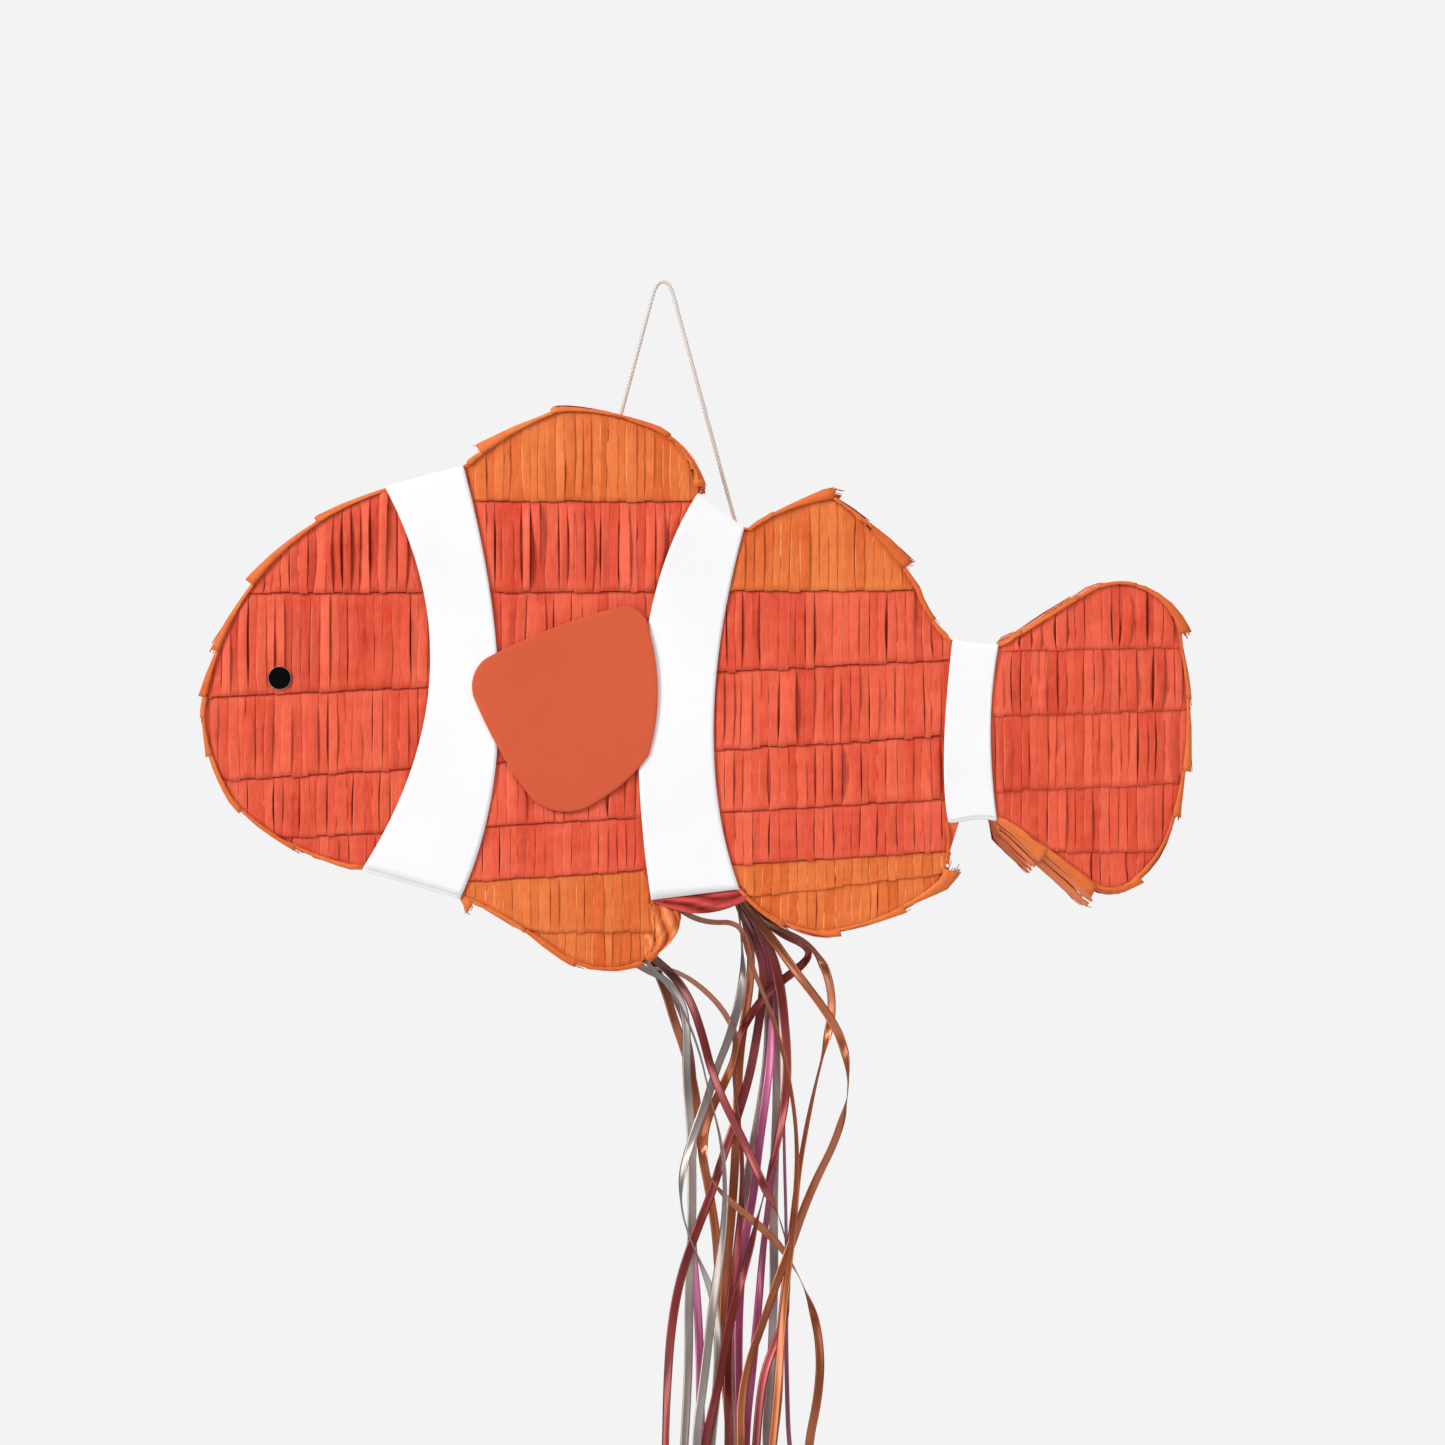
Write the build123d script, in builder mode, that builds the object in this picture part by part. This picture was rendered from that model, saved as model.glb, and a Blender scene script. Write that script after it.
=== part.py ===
"""A pull-ribbon pinata in the shape of a clownfish: a hollow card carcass covered in cut tissue
paper, with three paper stripes, card fins and eyes, a hanging loop of cord, a filler flap in
its back and a trapdoor in its belly that a ribbon pulls open.

The origin is the top of the hanging loop, where it bears on a hook. +Z is up, the nose points
along -X and the front face looks along -Y. All sizes are in millimetres.
"""
import os
from math import cos, pi, radians, tan

from build123d import *

os.makedirs("parts", exist_ok=True)

# ---------------------------------------------------------------- driving dimensions
carcass_depth = 90.0
panel_card = 3.0  # corrugated card of the two faces
band_card = 2.0  # card of the band between them
tissue = 1.0  # glued rows of tissue paper, pressed flat
stripe_paper = 0.5
fin_card = 1.0
cord_diameter = 2.5
ribbon_tube = 1.2  # a round tube with about the section of a 5 mm ribbon
reach = 420.0  # further than the fish goes from the origin, for half-plane cuts

face_y = carcass_depth / 2
band_y = face_y - panel_card
tissue_y = face_y + tissue
stripe_y = tissue_y + stripe_paper
wrap = tissue + stripe_paper

# Trapdoor in the belly and filler flap in the back
door_free_x = 1.0
door_hinge_x = 37.0
door_width = 70.0
cut_gap = 0.5
hinge_relief = 3.0  # bare card beside a scored hinge line
flap_left, flap_right = -80.0, -10.0
flap_bottom, flap_top = -178.0, -130.0

# The loop's legs, if extended, meet at loop_tip above the hook. They go through a hole each,
# given at mid-thickness of the band, and end in a knot behind a card washer.
loop_tip = 15.5
front_hole = (-24.8, -78.0)
rear_hole = (42.4, -140.5)
hole_diameter = 4.0
washer_hole = 5.0
tissue_hole = 6.0
washer_diameter = 16.0
washer_card = 1.5
knot_diameter = 8.0
knot_gap = 2.0
washer_seat = 0.4  # a flat washer stands this much off the curve of the band

# ---------------------------------------------------------------- the fish's outline, in (x, z)
nose = (-255.0, -246.0)
brow = (-153.0, -118.0)
front_fin_start = (-110.0, -106.5)
front_fin_end = (19.0, -121.0)
rear_fin_start = (46.0, -142.0)
rear_fin_end = (161.0, -203.0)
tail_root_top = (187.0, -205.5)
tail_root_bottom = (171.0, -300.0)
anal_fin_start = (156.0, -335.0)
anal_fin_end = (43.0, -340.0)
pelvic_fin_start = (-6.0, -346.0)
pelvic_fin_end = (-111.0, -344.0)
chin = (-166.0, -328.0)

# Each stretch is the point it passes through, or None where it is straight, and its end.
outline_stretches = [
    ((-226.0, -169.0), brow),
    (None, front_fin_start),
    ((-86.0, -88.0), (-57.0, -74.0)),
    ((-34.0, -75.0), (-10.0, -82.0)),
    ((11.0, -96.0), front_fin_end),
    (None, rear_fin_start),
    ((68.0, -129.5), (95.0, -122.5)),
    ((122.0, -146.0), (142.0, -174.0)),
    ((150.0, -191.0), rear_fin_end),
    ((174.0, -205.5), tail_root_top),
    (None, (240.0, -173.0)),
    ((272.0, -175.0), (288.5, -205.0)),
    ((292.0, -255.0), (285.0, -296.0)),
    ((275.0, -321.0), (259.0, -337.0)),
    ((247.0, -340.0), (236.0, -334.0)),
    (None, (200.0, -308.0)),
    ((186.0, -300.5), tail_root_bottom),
    (None, (158.5, -302.0)),
    ((159.0, -319.0), anal_fin_start),
    ((125.0, -354.5), (91.0, -364.0)),
    ((65.0, -357.5), anal_fin_end),
    (None, pelvic_fin_start),
    ((-3.5, -359.0), (-4.5, -375.0)),
    ((-35.0, -384.0), (-58.0, -374.5)),
    ((-82.0, -359.0), pelvic_fin_end),
    (None, chin),
    ((-214.0, -311.0), (-238.0, -292.0)),
    ((-249.0, -270.0), nose),
]


def facing(y):
    """The vertical plane at that y, seen from the front: extrusions go towards -Y."""
    return Plane(origin=(0, y, 0), x_dir=(1, 0, 0), z_dir=(0, -1, 0))


def face_of(start, stretches, growth=0):
    """A face inside straight edges and three-point arcs, drawn one after the other from the
    start and back to it, and grown outwards by that much."""
    with BuildSketch(Plane.XY) as face:
        with BuildLine():
            for middle, end in stretches:
                if middle:
                    ThreePointArc(start, middle, end)
                else:
                    Line(start, end)
                start = end
        make_face()
        if growth:
            offset(amount=growth)
    return face.sketch


def polygon(*corners):
    """A plain polygon, for cutting one piece's share out of a face or a ring."""
    with BuildSketch(Plane.XY) as face:
        with BuildLine():
            Polyline(*corners, close=True)
        make_face()
    return face.sketch


def draw(shape, region=None, mode=Mode.ADD):
    """Adds a flat shape to the open sketch and keeps the part of the sketch inside the region."""
    add(shape, mode=mode)
    if region is not None:
        add(region, mode=Mode.INTERSECT)


def finish(piece, name):
    """Labels a finished piece and writes it as its own node."""
    piece.part.label = name
    export_step(piece.part, f"parts/{name}.step")


def leg_direction(hole):
    """The way the cord's leg runs, down into that hole."""
    return (Vector(hole[0], 0, hole[1]) - Vector(0, 0, loop_tip)).normalized()


def cord_ways(diameter):
    """Round bars along both legs of the cord, for cutting holes around them."""
    with BuildPart() as bars:
        for hole in (front_hole, rear_hole):
            with BuildSketch(Plane(origin=(hole[0], 0, hole[1]), z_dir=leg_direction(hole))):
                Circle(diameter / 2)
            extrude(amount=8, both=True)
    return bars.part


card_face = face_of(nose, outline_stretches)
card_inside = face_of(nose, outline_stretches, -band_card)
tissue_face = face_of(nose, outline_stretches, tissue)
wrap_face = face_of(nose, outline_stretches, wrap)
card_holes = cord_ways(hole_diameter)
tissue_holes = cord_ways(tissue_hole)

# ---------------------------------------------------------------- the two face panels
with BuildPart() as front_panel:
    with BuildSketch(facing(-band_y)):
        draw(card_face)
    extrude(amount=panel_card)
finish(front_panel, "front_panel")

flap_middle = ((flap_left + flap_right) / 2, (flap_bottom + flap_top) / 2)
flap_size = (flap_right - flap_left, flap_top - flap_bottom)

with BuildPart() as back_panel:
    with BuildSketch(facing(face_y)):
        draw(card_face)
        with Locations(flap_middle):
            Rectangle(*flap_size, mode=Mode.SUBTRACT)
    extrude(amount=panel_card)
finish(back_panel, "back_panel")

# The flap meets the panel along its scored top edge and is cut free on its other three sides.
with BuildPart() as filler_flap:
    with BuildSketch(facing(face_y)):
        with Locations((flap_middle[0], flap_middle[1] + cut_gap / 2)):
            Rectangle(flap_size[0] - 2 * cut_gap, flap_size[1] - cut_gap)
    extrude(amount=panel_card)
finish(filler_flap, "filler_flap")

with BuildPart() as filler_flap_tissue:
    with BuildSketch(facing(tissue_y)):
        with Locations((flap_middle[0], flap_middle[1] + (cut_gap - hinge_relief) / 2)):
            Rectangle(flap_size[0] - 2 * cut_gap, flap_size[1] - cut_gap - hinge_relief)
    extrude(amount=tissue)
finish(filler_flap_tissue, "filler_flap_tissue")

# ---------------------------------------------------------------- the band, in eight strips
# Cuts between the strips, as lines from inside the carcass to outside it
cuts = {
    "nose": ((-150.0, -246.0), (-reach, -246.0)),
    "nape": ((-98.0, -146.0), (-117.0, -82.0)),
    "saddle": ((0.0, -144.0), (35.0, -102.0)),
    "tail_top": ((150.0, -224.0), (172.0, -182.0)),
    "tail_bottom": ((171.0, -280.0), (171.0, -reach)),
    "belly_rear": ((43.0, -320.0), (43.0, -reach)),
    "belly_front": ((-30.0, -318.0), (20.0, -374.0)),
    "throat": ((-98.0, -312.0), (-124.0, -376.0)),
}
forehead = polygon(*cuts["nose"], (-reach, -40), cuts["nape"][1], cuts["nape"][0])
front_back = polygon(
    *cuts["nape"], (-117.0, -40), (35.0, -40), cuts["saddle"][1], cuts["saddle"][0]
)
rear_back = polygon(
    *cuts["saddle"], (35.0, -40), (172.0, -40), cuts["tail_top"][1], cuts["tail_top"][0]
)
tail = polygon(
    *cuts["tail_top"], (172.0, -40), (reach, -40), (reach, -reach), cuts["tail_bottom"][1],
    cuts["tail_bottom"][0],
)
rear_belly = polygon(*cuts["tail_bottom"], cuts["belly_rear"][1], cuts["belly_rear"][0])
belly = polygon(
    *cuts["belly_rear"], (20.0, -reach), cuts["belly_front"][1], cuts["belly_front"][0]
)
pelvis = polygon(
    *cuts["belly_front"], (20.0, -reach), (-124.0, -reach), cuts["throat"][1], cuts["throat"][0]
)
throat = polygon(*cuts["throat"], (-124.0, -reach), (-reach, -reach), cuts["nose"][1], cuts["nose"][0])

band_strips = {
    "forehead_band": forehead,
    "front_dorsal_band": front_back,
    "rear_dorsal_band": rear_back,
    "tail_band": tail,
    "anal_fin_band": rear_belly,
    "belly_band": belly,
    "pelvic_fin_band": pelvis,
    "throat_band": throat,
}
door_span = door_hinge_x - door_free_x

for name, region in band_strips.items():
    with BuildPart() as strip:
        with BuildSketch(facing(band_y)):
            draw(card_face)
            draw(card_inside, region, Mode.SUBTRACT)
        extrude(amount=2 * band_y)
        if name == "belly_band":
            with Locations((door_free_x + door_span / 2, 0, pelvic_fin_start[1])):
                Box(door_span, door_width, 40, mode=Mode.SUBTRACT)
        if name in ("front_dorsal_band", "rear_dorsal_band"):
            add(card_holes, mode=Mode.SUBTRACT)
    finish(strip, name)

# ---------------------------------------------------------------- trapdoor
# It hinges on a score at its rear edge, under the anal fin's front end, and hangs open from it.
with BuildPart() as trapdoor:
    with BuildSketch(facing(door_width / 2 - cut_gap)):
        draw(card_face)
        draw(card_inside, belly, Mode.SUBTRACT)
    extrude(amount=door_width - 2 * cut_gap)
    with Locations((door_free_x + (door_span + cut_gap) / 2, 0, pelvic_fin_start[1])):
        Box(door_span - cut_gap, reach, reach, mode=Mode.INTERSECT)
finish(trapdoor, "trapdoor")

# Its tissue stops short of the score, so that it swings clear of the tissue beside it.
tissue_span = door_span - cut_gap - hinge_relief
with BuildPart() as trapdoor_tissue:
    with BuildSketch(facing(door_width / 2 - cut_gap)):
        draw(tissue_face)
        draw(card_face, belly, Mode.SUBTRACT)
    extrude(amount=door_width - 2 * cut_gap)
    with Locations((door_free_x + cut_gap + tissue_span / 2, 0, pelvic_fin_start[1])):
        Box(tissue_span, reach, reach, mode=Mode.INTERSECT)
finish(trapdoor_tissue, "trapdoor_tissue")

# ---------------------------------------------------------------- tissue on the faces
# The lower edges of the red rows, as heights at the two ends of the body
body_left, body_right = -300.0, 175.0
row_edges = [(-176.0, -174.0), (-236.0, -212.0), (-283.0, -254.0), (-317.0, -289.0), (-348.0, -318.0)]
fin_base = -124.5  # lower edge of the tissue on the front dorsal fin
head_x = -113.0  # under the head stripe
waist_x = 36.0  # under the body stripe


def edge_height(row, x):
    """The height of a row's lower edge there."""
    left, right = row_edges[row]
    return left + (right - left) * (x - body_left) / (body_right - body_left)


def row_region(row):
    """The strip of face between one row's lower edge and the next."""
    above, below = row_edges[row - 1], row_edges[row]
    return polygon(
        (body_left, above[0]), (body_right, above[1]), (body_right, below[1]), (body_left, below[0])
    )


front_dorsal = polygon((head_x, fin_base), (head_x, -40), (waist_x, -40), (waist_x, fin_base))
rear_dorsal = polygon(
    (waist_x, edge_height(0, waist_x)), (waist_x, -40), (body_right, -40), (body_right, row_edges[0][1])
)
pelvic_fin = polygon(
    (head_x, edge_height(4, head_x)), (-7, edge_height(4, -7)), pelvic_fin_start, (6, -362), (6, -reach),
    (head_x, -reach),
)
anal_fin = polygon(
    (waist_x, edge_height(4, waist_x)), (body_right, row_edges[4][1]), (body_right, -reach),
    (waist_x, -reach),
)
tail_fin = polygon((body_right, -40), (reach, -40), (reach, -reach), (body_right, -reach))
top_row = polygon(
    (body_left, row_edges[0][0]), (body_left, -40), (head_x, -40), (head_x, fin_base),
    (waist_x, fin_base), (waist_x, edge_height(0, waist_x)),
)
# The lowest red row also fills the throat and the belly, down to the edge.
with BuildSketch(Plane.XY) as lowest_row:
    add(row_region(4))
    add(polygon((body_left, -330), (head_x, -330), (head_x, -reach), (body_left, -reach)))
    add(
        polygon(
            (-7, edge_height(4, -7)), (waist_x, edge_height(4, waist_x)), (waist_x, -reach),
            (6, -reach), (6, -362), pelvic_fin_start,
        )
    )

face_rows = {
    "front_dorsal_tissue": front_dorsal,
    "rear_dorsal_tissue": rear_dorsal,
    "body_tissue_row_1": top_row,
    "body_tissue_row_2": row_region(1),
    "body_tissue_row_3": row_region(2),
    "body_tissue_row_4": row_region(3),
    "body_tissue_row_5": lowest_row.sketch,
    "pelvic_fin_tissue": pelvic_fin,
    "anal_fin_tissue": anal_fin,
    "tail_tissue": tail_fin,
}
orange_rows = ("front_dorsal_tissue", "rear_dorsal_tissue", "pelvic_fin_tissue", "anal_fin_tissue")

for name, region in face_rows.items():
    with BuildPart() as row:
        with BuildSketch(facing(-face_y)):
            draw(tissue_face, region)
        extrude(amount=tissue)
    finish(row, name)

with BuildPart() as back_tissue_orange:
    for name in orange_rows:
        with BuildSketch(facing(tissue_y)):
            draw(tissue_face, face_rows[name])
        extrude(amount=tissue)
finish(back_tissue_orange, "back_tissue_orange")

with BuildPart() as back_tissue_red:
    with BuildSketch(facing(tissue_y)):
        draw(tissue_face)
        for name in orange_rows:
            add(face_rows[name], mode=Mode.SUBTRACT)
        with Locations((flap_middle[0], flap_middle[1] + hinge_relief / 2)):
            Rectangle(flap_size[0], flap_size[1] + hinge_relief, mode=Mode.SUBTRACT)
    extrude(amount=tissue)
finish(back_tissue_red, "back_tissue_red")

# ---------------------------------------------------------------- tissue on the band
edge_tissue = {
    "top_edge_tissue": (forehead, front_back, rear_back),
    "tail_edge_tissue": (tail,),
    "rear_belly_edge_tissue": (rear_belly,),
    "belly_edge_tissue": (belly,),
    "front_belly_edge_tissue": (pelvis, throat),
}
for name, regions in edge_tissue.items():
    with BuildSketch(Plane.XY) as share:
        for region in regions:
            add(region)
    with BuildPart() as edge:
        with BuildSketch(facing(face_y)):
            draw(tissue_face)
            draw(card_face, share.sketch, Mode.SUBTRACT)
        extrude(amount=carcass_depth)
        add(tissue_holes, mode=Mode.SUBTRACT)
        if name == "belly_edge_tissue":
            with Locations((door_free_x + (door_span + cut_gap) / 2, 0, pelvic_fin_start[1])):
                Box(door_span + cut_gap, door_width, 40, mode=Mode.SUBTRACT)
    finish(edge, name)

# ---------------------------------------------------------------- white paper stripes
# Each is the area between two curved sides, run on past the fish's edge where it folds over it.
stripes = {
    "head_stripe": (
        (-153.5, -117.0),
        [
            ((-129.0, -222.0), (-166.0, -328.5)),
            (None, (-168.0, -336.0)),
            (None, (-113.0, -352.0)),
            (None, (-111.5, -344.0)),
            ((-90.5, -240.0), (-110.0, -106.0)),
            (None, (-112.0, -99.0)),
            (None, (-155.5, -110.0)),
            (None, (-153.5, -117.0)),
        ],
    ),
    "body_stripe": (
        front_fin_end,
        [
            ((-11.0, -215.0), pelvic_fin_start),
            (None, anal_fin_end),
            ((28.5, -250.0), (45.0, -141.3)),
            (None, (48.0, -137.5)),
            (None, (22.5, -117.0)),
            (None, front_fin_end),
        ],
    ),
    "tail_stripe": (
        rear_fin_end,
        [
            ((156.3, -262.0), (158.5, -302.0)),
            (None, (161.0, -308.0)),
            (None, (187.0, -306.0)),
            (None, (186.0, -299.0)),
            ((182.7, -250.0), tail_root_top),
            (None, (187.0, -199.0)),
            (None, (162.5, -197.0)),
            (None, rear_fin_end),
        ],
    ),
}
for name, (start, sides) in stripes.items():
    area = face_of(start, sides)
    with BuildPart() as stripe:
        for y in (-tissue_y, stripe_y):
            with BuildSketch(facing(y)):
                draw(wrap_face, area)
            extrude(amount=stripe_paper)
        with BuildSketch(facing(tissue_y)):
            draw(wrap_face)
            draw(tissue_face, area, Mode.SUBTRACT)
        extrude(amount=2 * tissue_y)
        add(tissue_holes, mode=Mode.SUBTRACT)
    finish(stripe, name)

# ---------------------------------------------------------------- card fins and eyes
fin_start = (-98.0, -212.0)
fin_sides = [
    ((-62.0, -195.5), (-26.0, -184.0)),
    ((-13.0, -185.5), (-7.0, -197.0)),
    ((-2.3, -232.0), (-7.5, -266.0)),
    ((-20.0, -280.0), (-36.0, -291.5)),
    ((-56.0, -297.0), (-73.0, -289.0)),
    ((-89.0, -265.0), (-103.0, -237.0)),
    ((-105.0, -223.0), fin_start),
]
eye_at = (-212.3, -222.8)
eye_radius = 6.4

with BuildPart() as front_pectoral_fin:
    with BuildSketch(facing(-stripe_y)):
        draw(face_of(fin_start, fin_sides))
    extrude(amount=fin_card)
finish(front_pectoral_fin, "front_pectoral_fin")

with BuildPart() as back_pectoral_fin:
    with BuildSketch(facing(stripe_y + fin_card)):
        draw(face_of(fin_start, fin_sides))
    extrude(amount=fin_card)
finish(back_pectoral_fin, "back_pectoral_fin")

with BuildPart() as eyes:
    for y in (-tissue_y, tissue_y + fin_card):
        with BuildSketch(facing(y)):
            with Locations(eye_at):
                Circle(eye_radius)
        extrude(amount=fin_card)
finish(eyes, "eyes")

# ---------------------------------------------------------------- hanging loop
legs = [leg_direction(hole) for hole in (front_hole, rear_hole)]
# The way into the carcass, square to the band, at each hole
inward = [Vector(-0.25, 0, -0.97).normalized(), Vector(-21, 0, -27).normalized()]
washer_top = band_card / 2 + washer_seat
washer_depth = washer_top + washer_card
knot_depth = washer_depth + knot_gap + knot_diameter / 2
knot_centres = [
    Vector(hole[0], 0, hole[1]) + leg * (knot_depth / leg.dot(into))
    for hole, leg, into in zip((front_hole, rear_hole), legs, inward)
]
half_angle = radians(legs[0].get_angle(legs[1]) / 2)
bend_radius = (loop_tip - cord_diameter / 2) / (1 / cos(pi / 2 - half_angle) - 1)

with BuildPart() as hanging_cord:
    with BuildLine():
        FilletPolyline(knot_centres[0], (0, 0, loop_tip), knot_centres[1], radius=bend_radius)
    with BuildSketch(Plane(origin=knot_centres[0], z_dir=-legs[0])):
        Circle(cord_diameter / 2)
    sweep()
finish(hanging_cord, "hanging_cord")

with BuildPart() as cord_knots:
    with Locations(*knot_centres):
        Sphere(knot_diameter / 2)
finish(cord_knots, "cord_knots")

washer_holes = cord_ways(washer_hole)
with BuildPart() as cord_washers:
    for hole, leg, into in zip((front_hole, rear_hole), legs, inward):
        centre = Vector(hole[0], 0, hole[1]) + leg * (washer_top / leg.dot(into))
        with BuildSketch(Plane(origin=centre, z_dir=into)):
            Circle(washer_diameter / 2)
        extrude(amount=washer_card)
    add(washer_holes, mode=Mode.SUBTRACT)
finish(cord_washers, "cord_washers")

# ---------------------------------------------------------------- ribbons
# Two lengths of tape hold the ribbons: one behind the trapdoor, one under the pelvic fin.
tape_face = face_of(nose, outline_stretches, 2 * tissue)
tapes = {
    "belly": polygon((38.5, -330), (43.0, -330), (43.0, -350), (38.5, -350)),
    "pelvic": polygon((-21.0, -368), (-4.0, -368), (-4.0, -390), (-21.0, -390)),
}
tape_width = 78.0
with BuildPart() as ribbon_tape:
    for region in tapes.values():
        with BuildSketch(facing(tape_width / 2)):
            draw(tape_face)
            draw(tissue_face, region, Mode.SUBTRACT)
        extrude(amount=tape_width)
finish(ribbon_tape, "ribbon_tape")

# Each ribbon: its distance behind the middle of the carcass, and its way down in (x, z).
ribbons = {
    "copper_ribbon_1": (28, [
        (-8, -379), (0.5, -397.5), (6, -416.5), (12, -433.5), (17, -452.5), (20, -471.5), (22, -493),
        (26, -513), (30, -536.5), (31.5, -562), (34, -587.5), (35, -615.5), (37.5, -644), (39, -678.5),
        (44, -713), (43.5, -747.5),
    ]),
    "silver_ribbon_1": (24, [
        (-17, -383.5), (-10, -388), (-1.5, -391.5), (6, -398.5), (11.5, -408.5), (13.5, -423),
        (13, -440), (14, -460.5), (16, -483), (16.5, -511), (16, -542), (14.5, -573.5), (14.5, -607),
        (13, -641), (10.5, -682), (12, -722.5), (10, -763.5),
    ]),
    "red_ribbon_1": (-27, [
        (-6, -378), (5, -387), (15.5, -402), (22, -421), (27.5, -443.5), (36, -463.5), (45.5, -481.5),
        (54, -501), (64, -520), (70, -539.5), (72, -559.5), (69.5, -580.5), (62, -597), (56, -614),
        (53, -641), (51, -677.5), (53.5, -714.5), (55, -751),
    ]),
    "copper_ribbon_2": (-8, [
        (-17, -383.5), (-9, -386.5), (0.5, -385), (12.5, -389.5), (24.5, -398.5), (34.5, -409.5),
        (42, -424), (40, -439), (33.5, -453), (25.5, -468.5), (22, -486), (26, -503.5), (38.5, -517),
        (53.5, -529.5), (67, -543), (77.5, -560.5), (86, -581.5), (89, -604.5), (87, -628.5),
        (82, -652), (79.5, -692), (82.5, -732), (83.5, -772),
    ]),
    "silver_ribbon_3": (-19, [
        (-10, -380.5), (0.5, -391), (12, -408.5), (21, -432), (26.5, -457), (33.5, -483),
        (35.5, -506.5), (34.5, -531), (30.5, -557.5), (26.5, -587.5), (23, -618.5), (18.5, -649.5),
        (19.5, -698), (16, -746.5),
    ]),
    "magenta_ribbon_1": (32, [
        (-12, -381.5), (0, -394.5), (9.5, -411), (16, -432), (18, -457.5), (17.5, -486), (15.5, -517),
        (17, -548), (19.5, -579), (21, -613), (21, -646.5), (23, -685.5), (29, -724.5), (33, -763.5),
    ]),
    "silver_ribbon_2": (-12, [
        (40, -342), (43, -353), (45, -376), (45.5, -390), (43, -405.5), (37.5, -424.5), (30, -442.5),
        (24, -462.5), (16, -483), (11, -500), (10, -518.5), (15.5, -537.5), (23, -554), (29.5, -573.5),
        (31.5, -598.5), (30.5, -624), (27, -652), (24, -696.5), (23, -741), (20.5, -785.5),
    ]),
    "red_ribbon_2": (-4, [
        (41, -342), (48.5, -353), (60, -361), (69, -367.5), (79.5, -372), (83.5, -378.5),
        (77.5, -385.5), (64.5, -395), (51.5, -409), (42.5, -425.5), (39.5, -444.5), (42.5, -467),
        (45, -491.5), (44.5, -517), (42, -545), (38, -573.5), (36, -604.5), (37.5, -641),
        (36.5, -676.5), (34, -711.5), (32.5, -747),
    ]),
    "red_ribbon_3": (-15.5, [
        (41, -342), (49, -356), (58, -368), (63, -382.5), (66.5, -400.5), (69.5, -424), (70, -449),
        (66.5, -474.5), (60.5, -499), (54, -523.5), (48, -548.5), (40.5, -573.5), (35, -598.5),
        (30.5, -624), (23.5, -652), (22.5, -689), (22, -725.5), (20, -762),
    ]),
    "red_ribbon_4": (0, [
        (40, -342), (44, -354), (52.5, -371.5), (57, -384.5), (56.5, -401), (53.5, -422),
        (49.5, -444.5), (42.5, -468.5), (34, -491.5), (27, -514), (17, -538.5), (9, -563), (4.5, -590),
        (2.5, -621), (1.5, -652), (1, -700.5), (3, -748.5),
    ]),
    "copper_ribbon_3": (-31, [
        (41, -342), (49, -354), (60.5, -367), (68.5, -378.5), (78.5, -392), (89, -405.5), (99, -421),
        (104, -439), (103.5, -459), (96.5, -482), (87, -501), (79, -519.5), (72, -540.5), (64, -561),
        (56.5, -583.5), (48.5, -604.5), (43.5, -629.5), (44, -655), (42, -693.5), (42.5, -731.5),
        (45.5, -769.5),
    ]),
    "copper_ribbon_4": (-23, [
        (42, -342), (49, -353), (59, -360.5), (69.5, -364.5), (80.5, -370), (89, -380), (94, -394),
        (95, -411), (90.5, -431), (84.5, -455), (79.5, -480), (75.5, -505.5), (73, -532.5), (69, -562),
        (66, -593), (65, -624), (61, -655), (58, -697.5), (53.5, -740.5), (48, -783),
    ]),
    "silver_ribbon_4": (20, [
        (41, -342), (48, -356), (57, -370), (61, -386), (63, -407), (64.5, -432), (64.5, -463.5),
        (63, -494.5), (62.5, -525.5), (63, -556.5), (62.5, -587.5), (61, -618.5), (58, -652),
        (61, -695.5), (66.5, -738.5), (68.5, -781.5),
    ]),
    "magenta_ribbon_2": (4, [
        (40.5, -342), (47, -357), (56, -373.5), (59.5, -390), (61, -409.5), (61, -433.5), (58, -459),
        (54, -486), (51, -514), (45.5, -542), (43, -573.5), (42.5, -604.5), (43, -635.5), (44.5, -658),
        (41.5, -707.5), (44.5, -757),
    ]),
    "magenta_ribbon_3": (12, [
        (42, -342), (49, -355), (58.5, -368), (65.5, -384.5), (69.5, -405.5), (71, -432), (69, -460.5),
        (64, -488.5), (60, -517), (56.5, -548), (54, -579), (51, -610), (46.5, -646.5), (46.5, -686.5),
        (43.5, -726.5), (42, -767),
    ]),
    "magenta_ribbon_4": (36, [
        (42, -342), (49, -354), (58, -366), (64.5, -382.5), (67.5, -404), (69, -429.5), (68.5, -460.5),
        (69, -494.5), (70, -528), (70.5, -562), (70, -596), (70.5, -629.5), (71.5, -658), (77, -697),
        (79.5, -736.5), (81, -775.5),
    ]),
    "silver_ribbon_5": (16, [
        (40.5, -342), (46, -354), (53, -371.5), (57.5, -387), (60, -408.5), (59.5, -435),
        (55.5, -463.5), (50, -491.5), (45.5, -519.5), (44, -548), (40.5, -579), (39.5, -610),
        (40.5, -646.5), (44.5, -680), (46, -713.5), (45.5, -747),
    ]),
    "copper_ribbon_5": (8, [
        (40, -342), (44.5, -353), (49.5, -372), (50, -388), (47.5, -408.5), (43.5, -432), (42, -460.5),
        (41, -491.5), (39, -522.5), (36, -553.5), (34, -584.5), (34.5, -615.5), (38, -646.5),
        (37, -682.5), (35.5, -718), (37.5, -754),
    ]),
    "pull_ribbon": (-35, [
        (4, -346), (10, -352), (19, -357), (29, -359), (38, -358.5), (45, -362.5), (48, -376.5),
        (53, -390.5), (60, -407.5), (66, -425.5), (71, -446), (74.5, -469), (75.5, -491.5),
        (74.5, -514), (72.5, -539.5), (68.5, -567.5), (66, -596), (64, -624), (61, -655), (55.5, -702),
        (47.5, -749),
    ]),
}
ribbon_gather = 0.9  # the bunch draws together by this much from top to bottom


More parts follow.
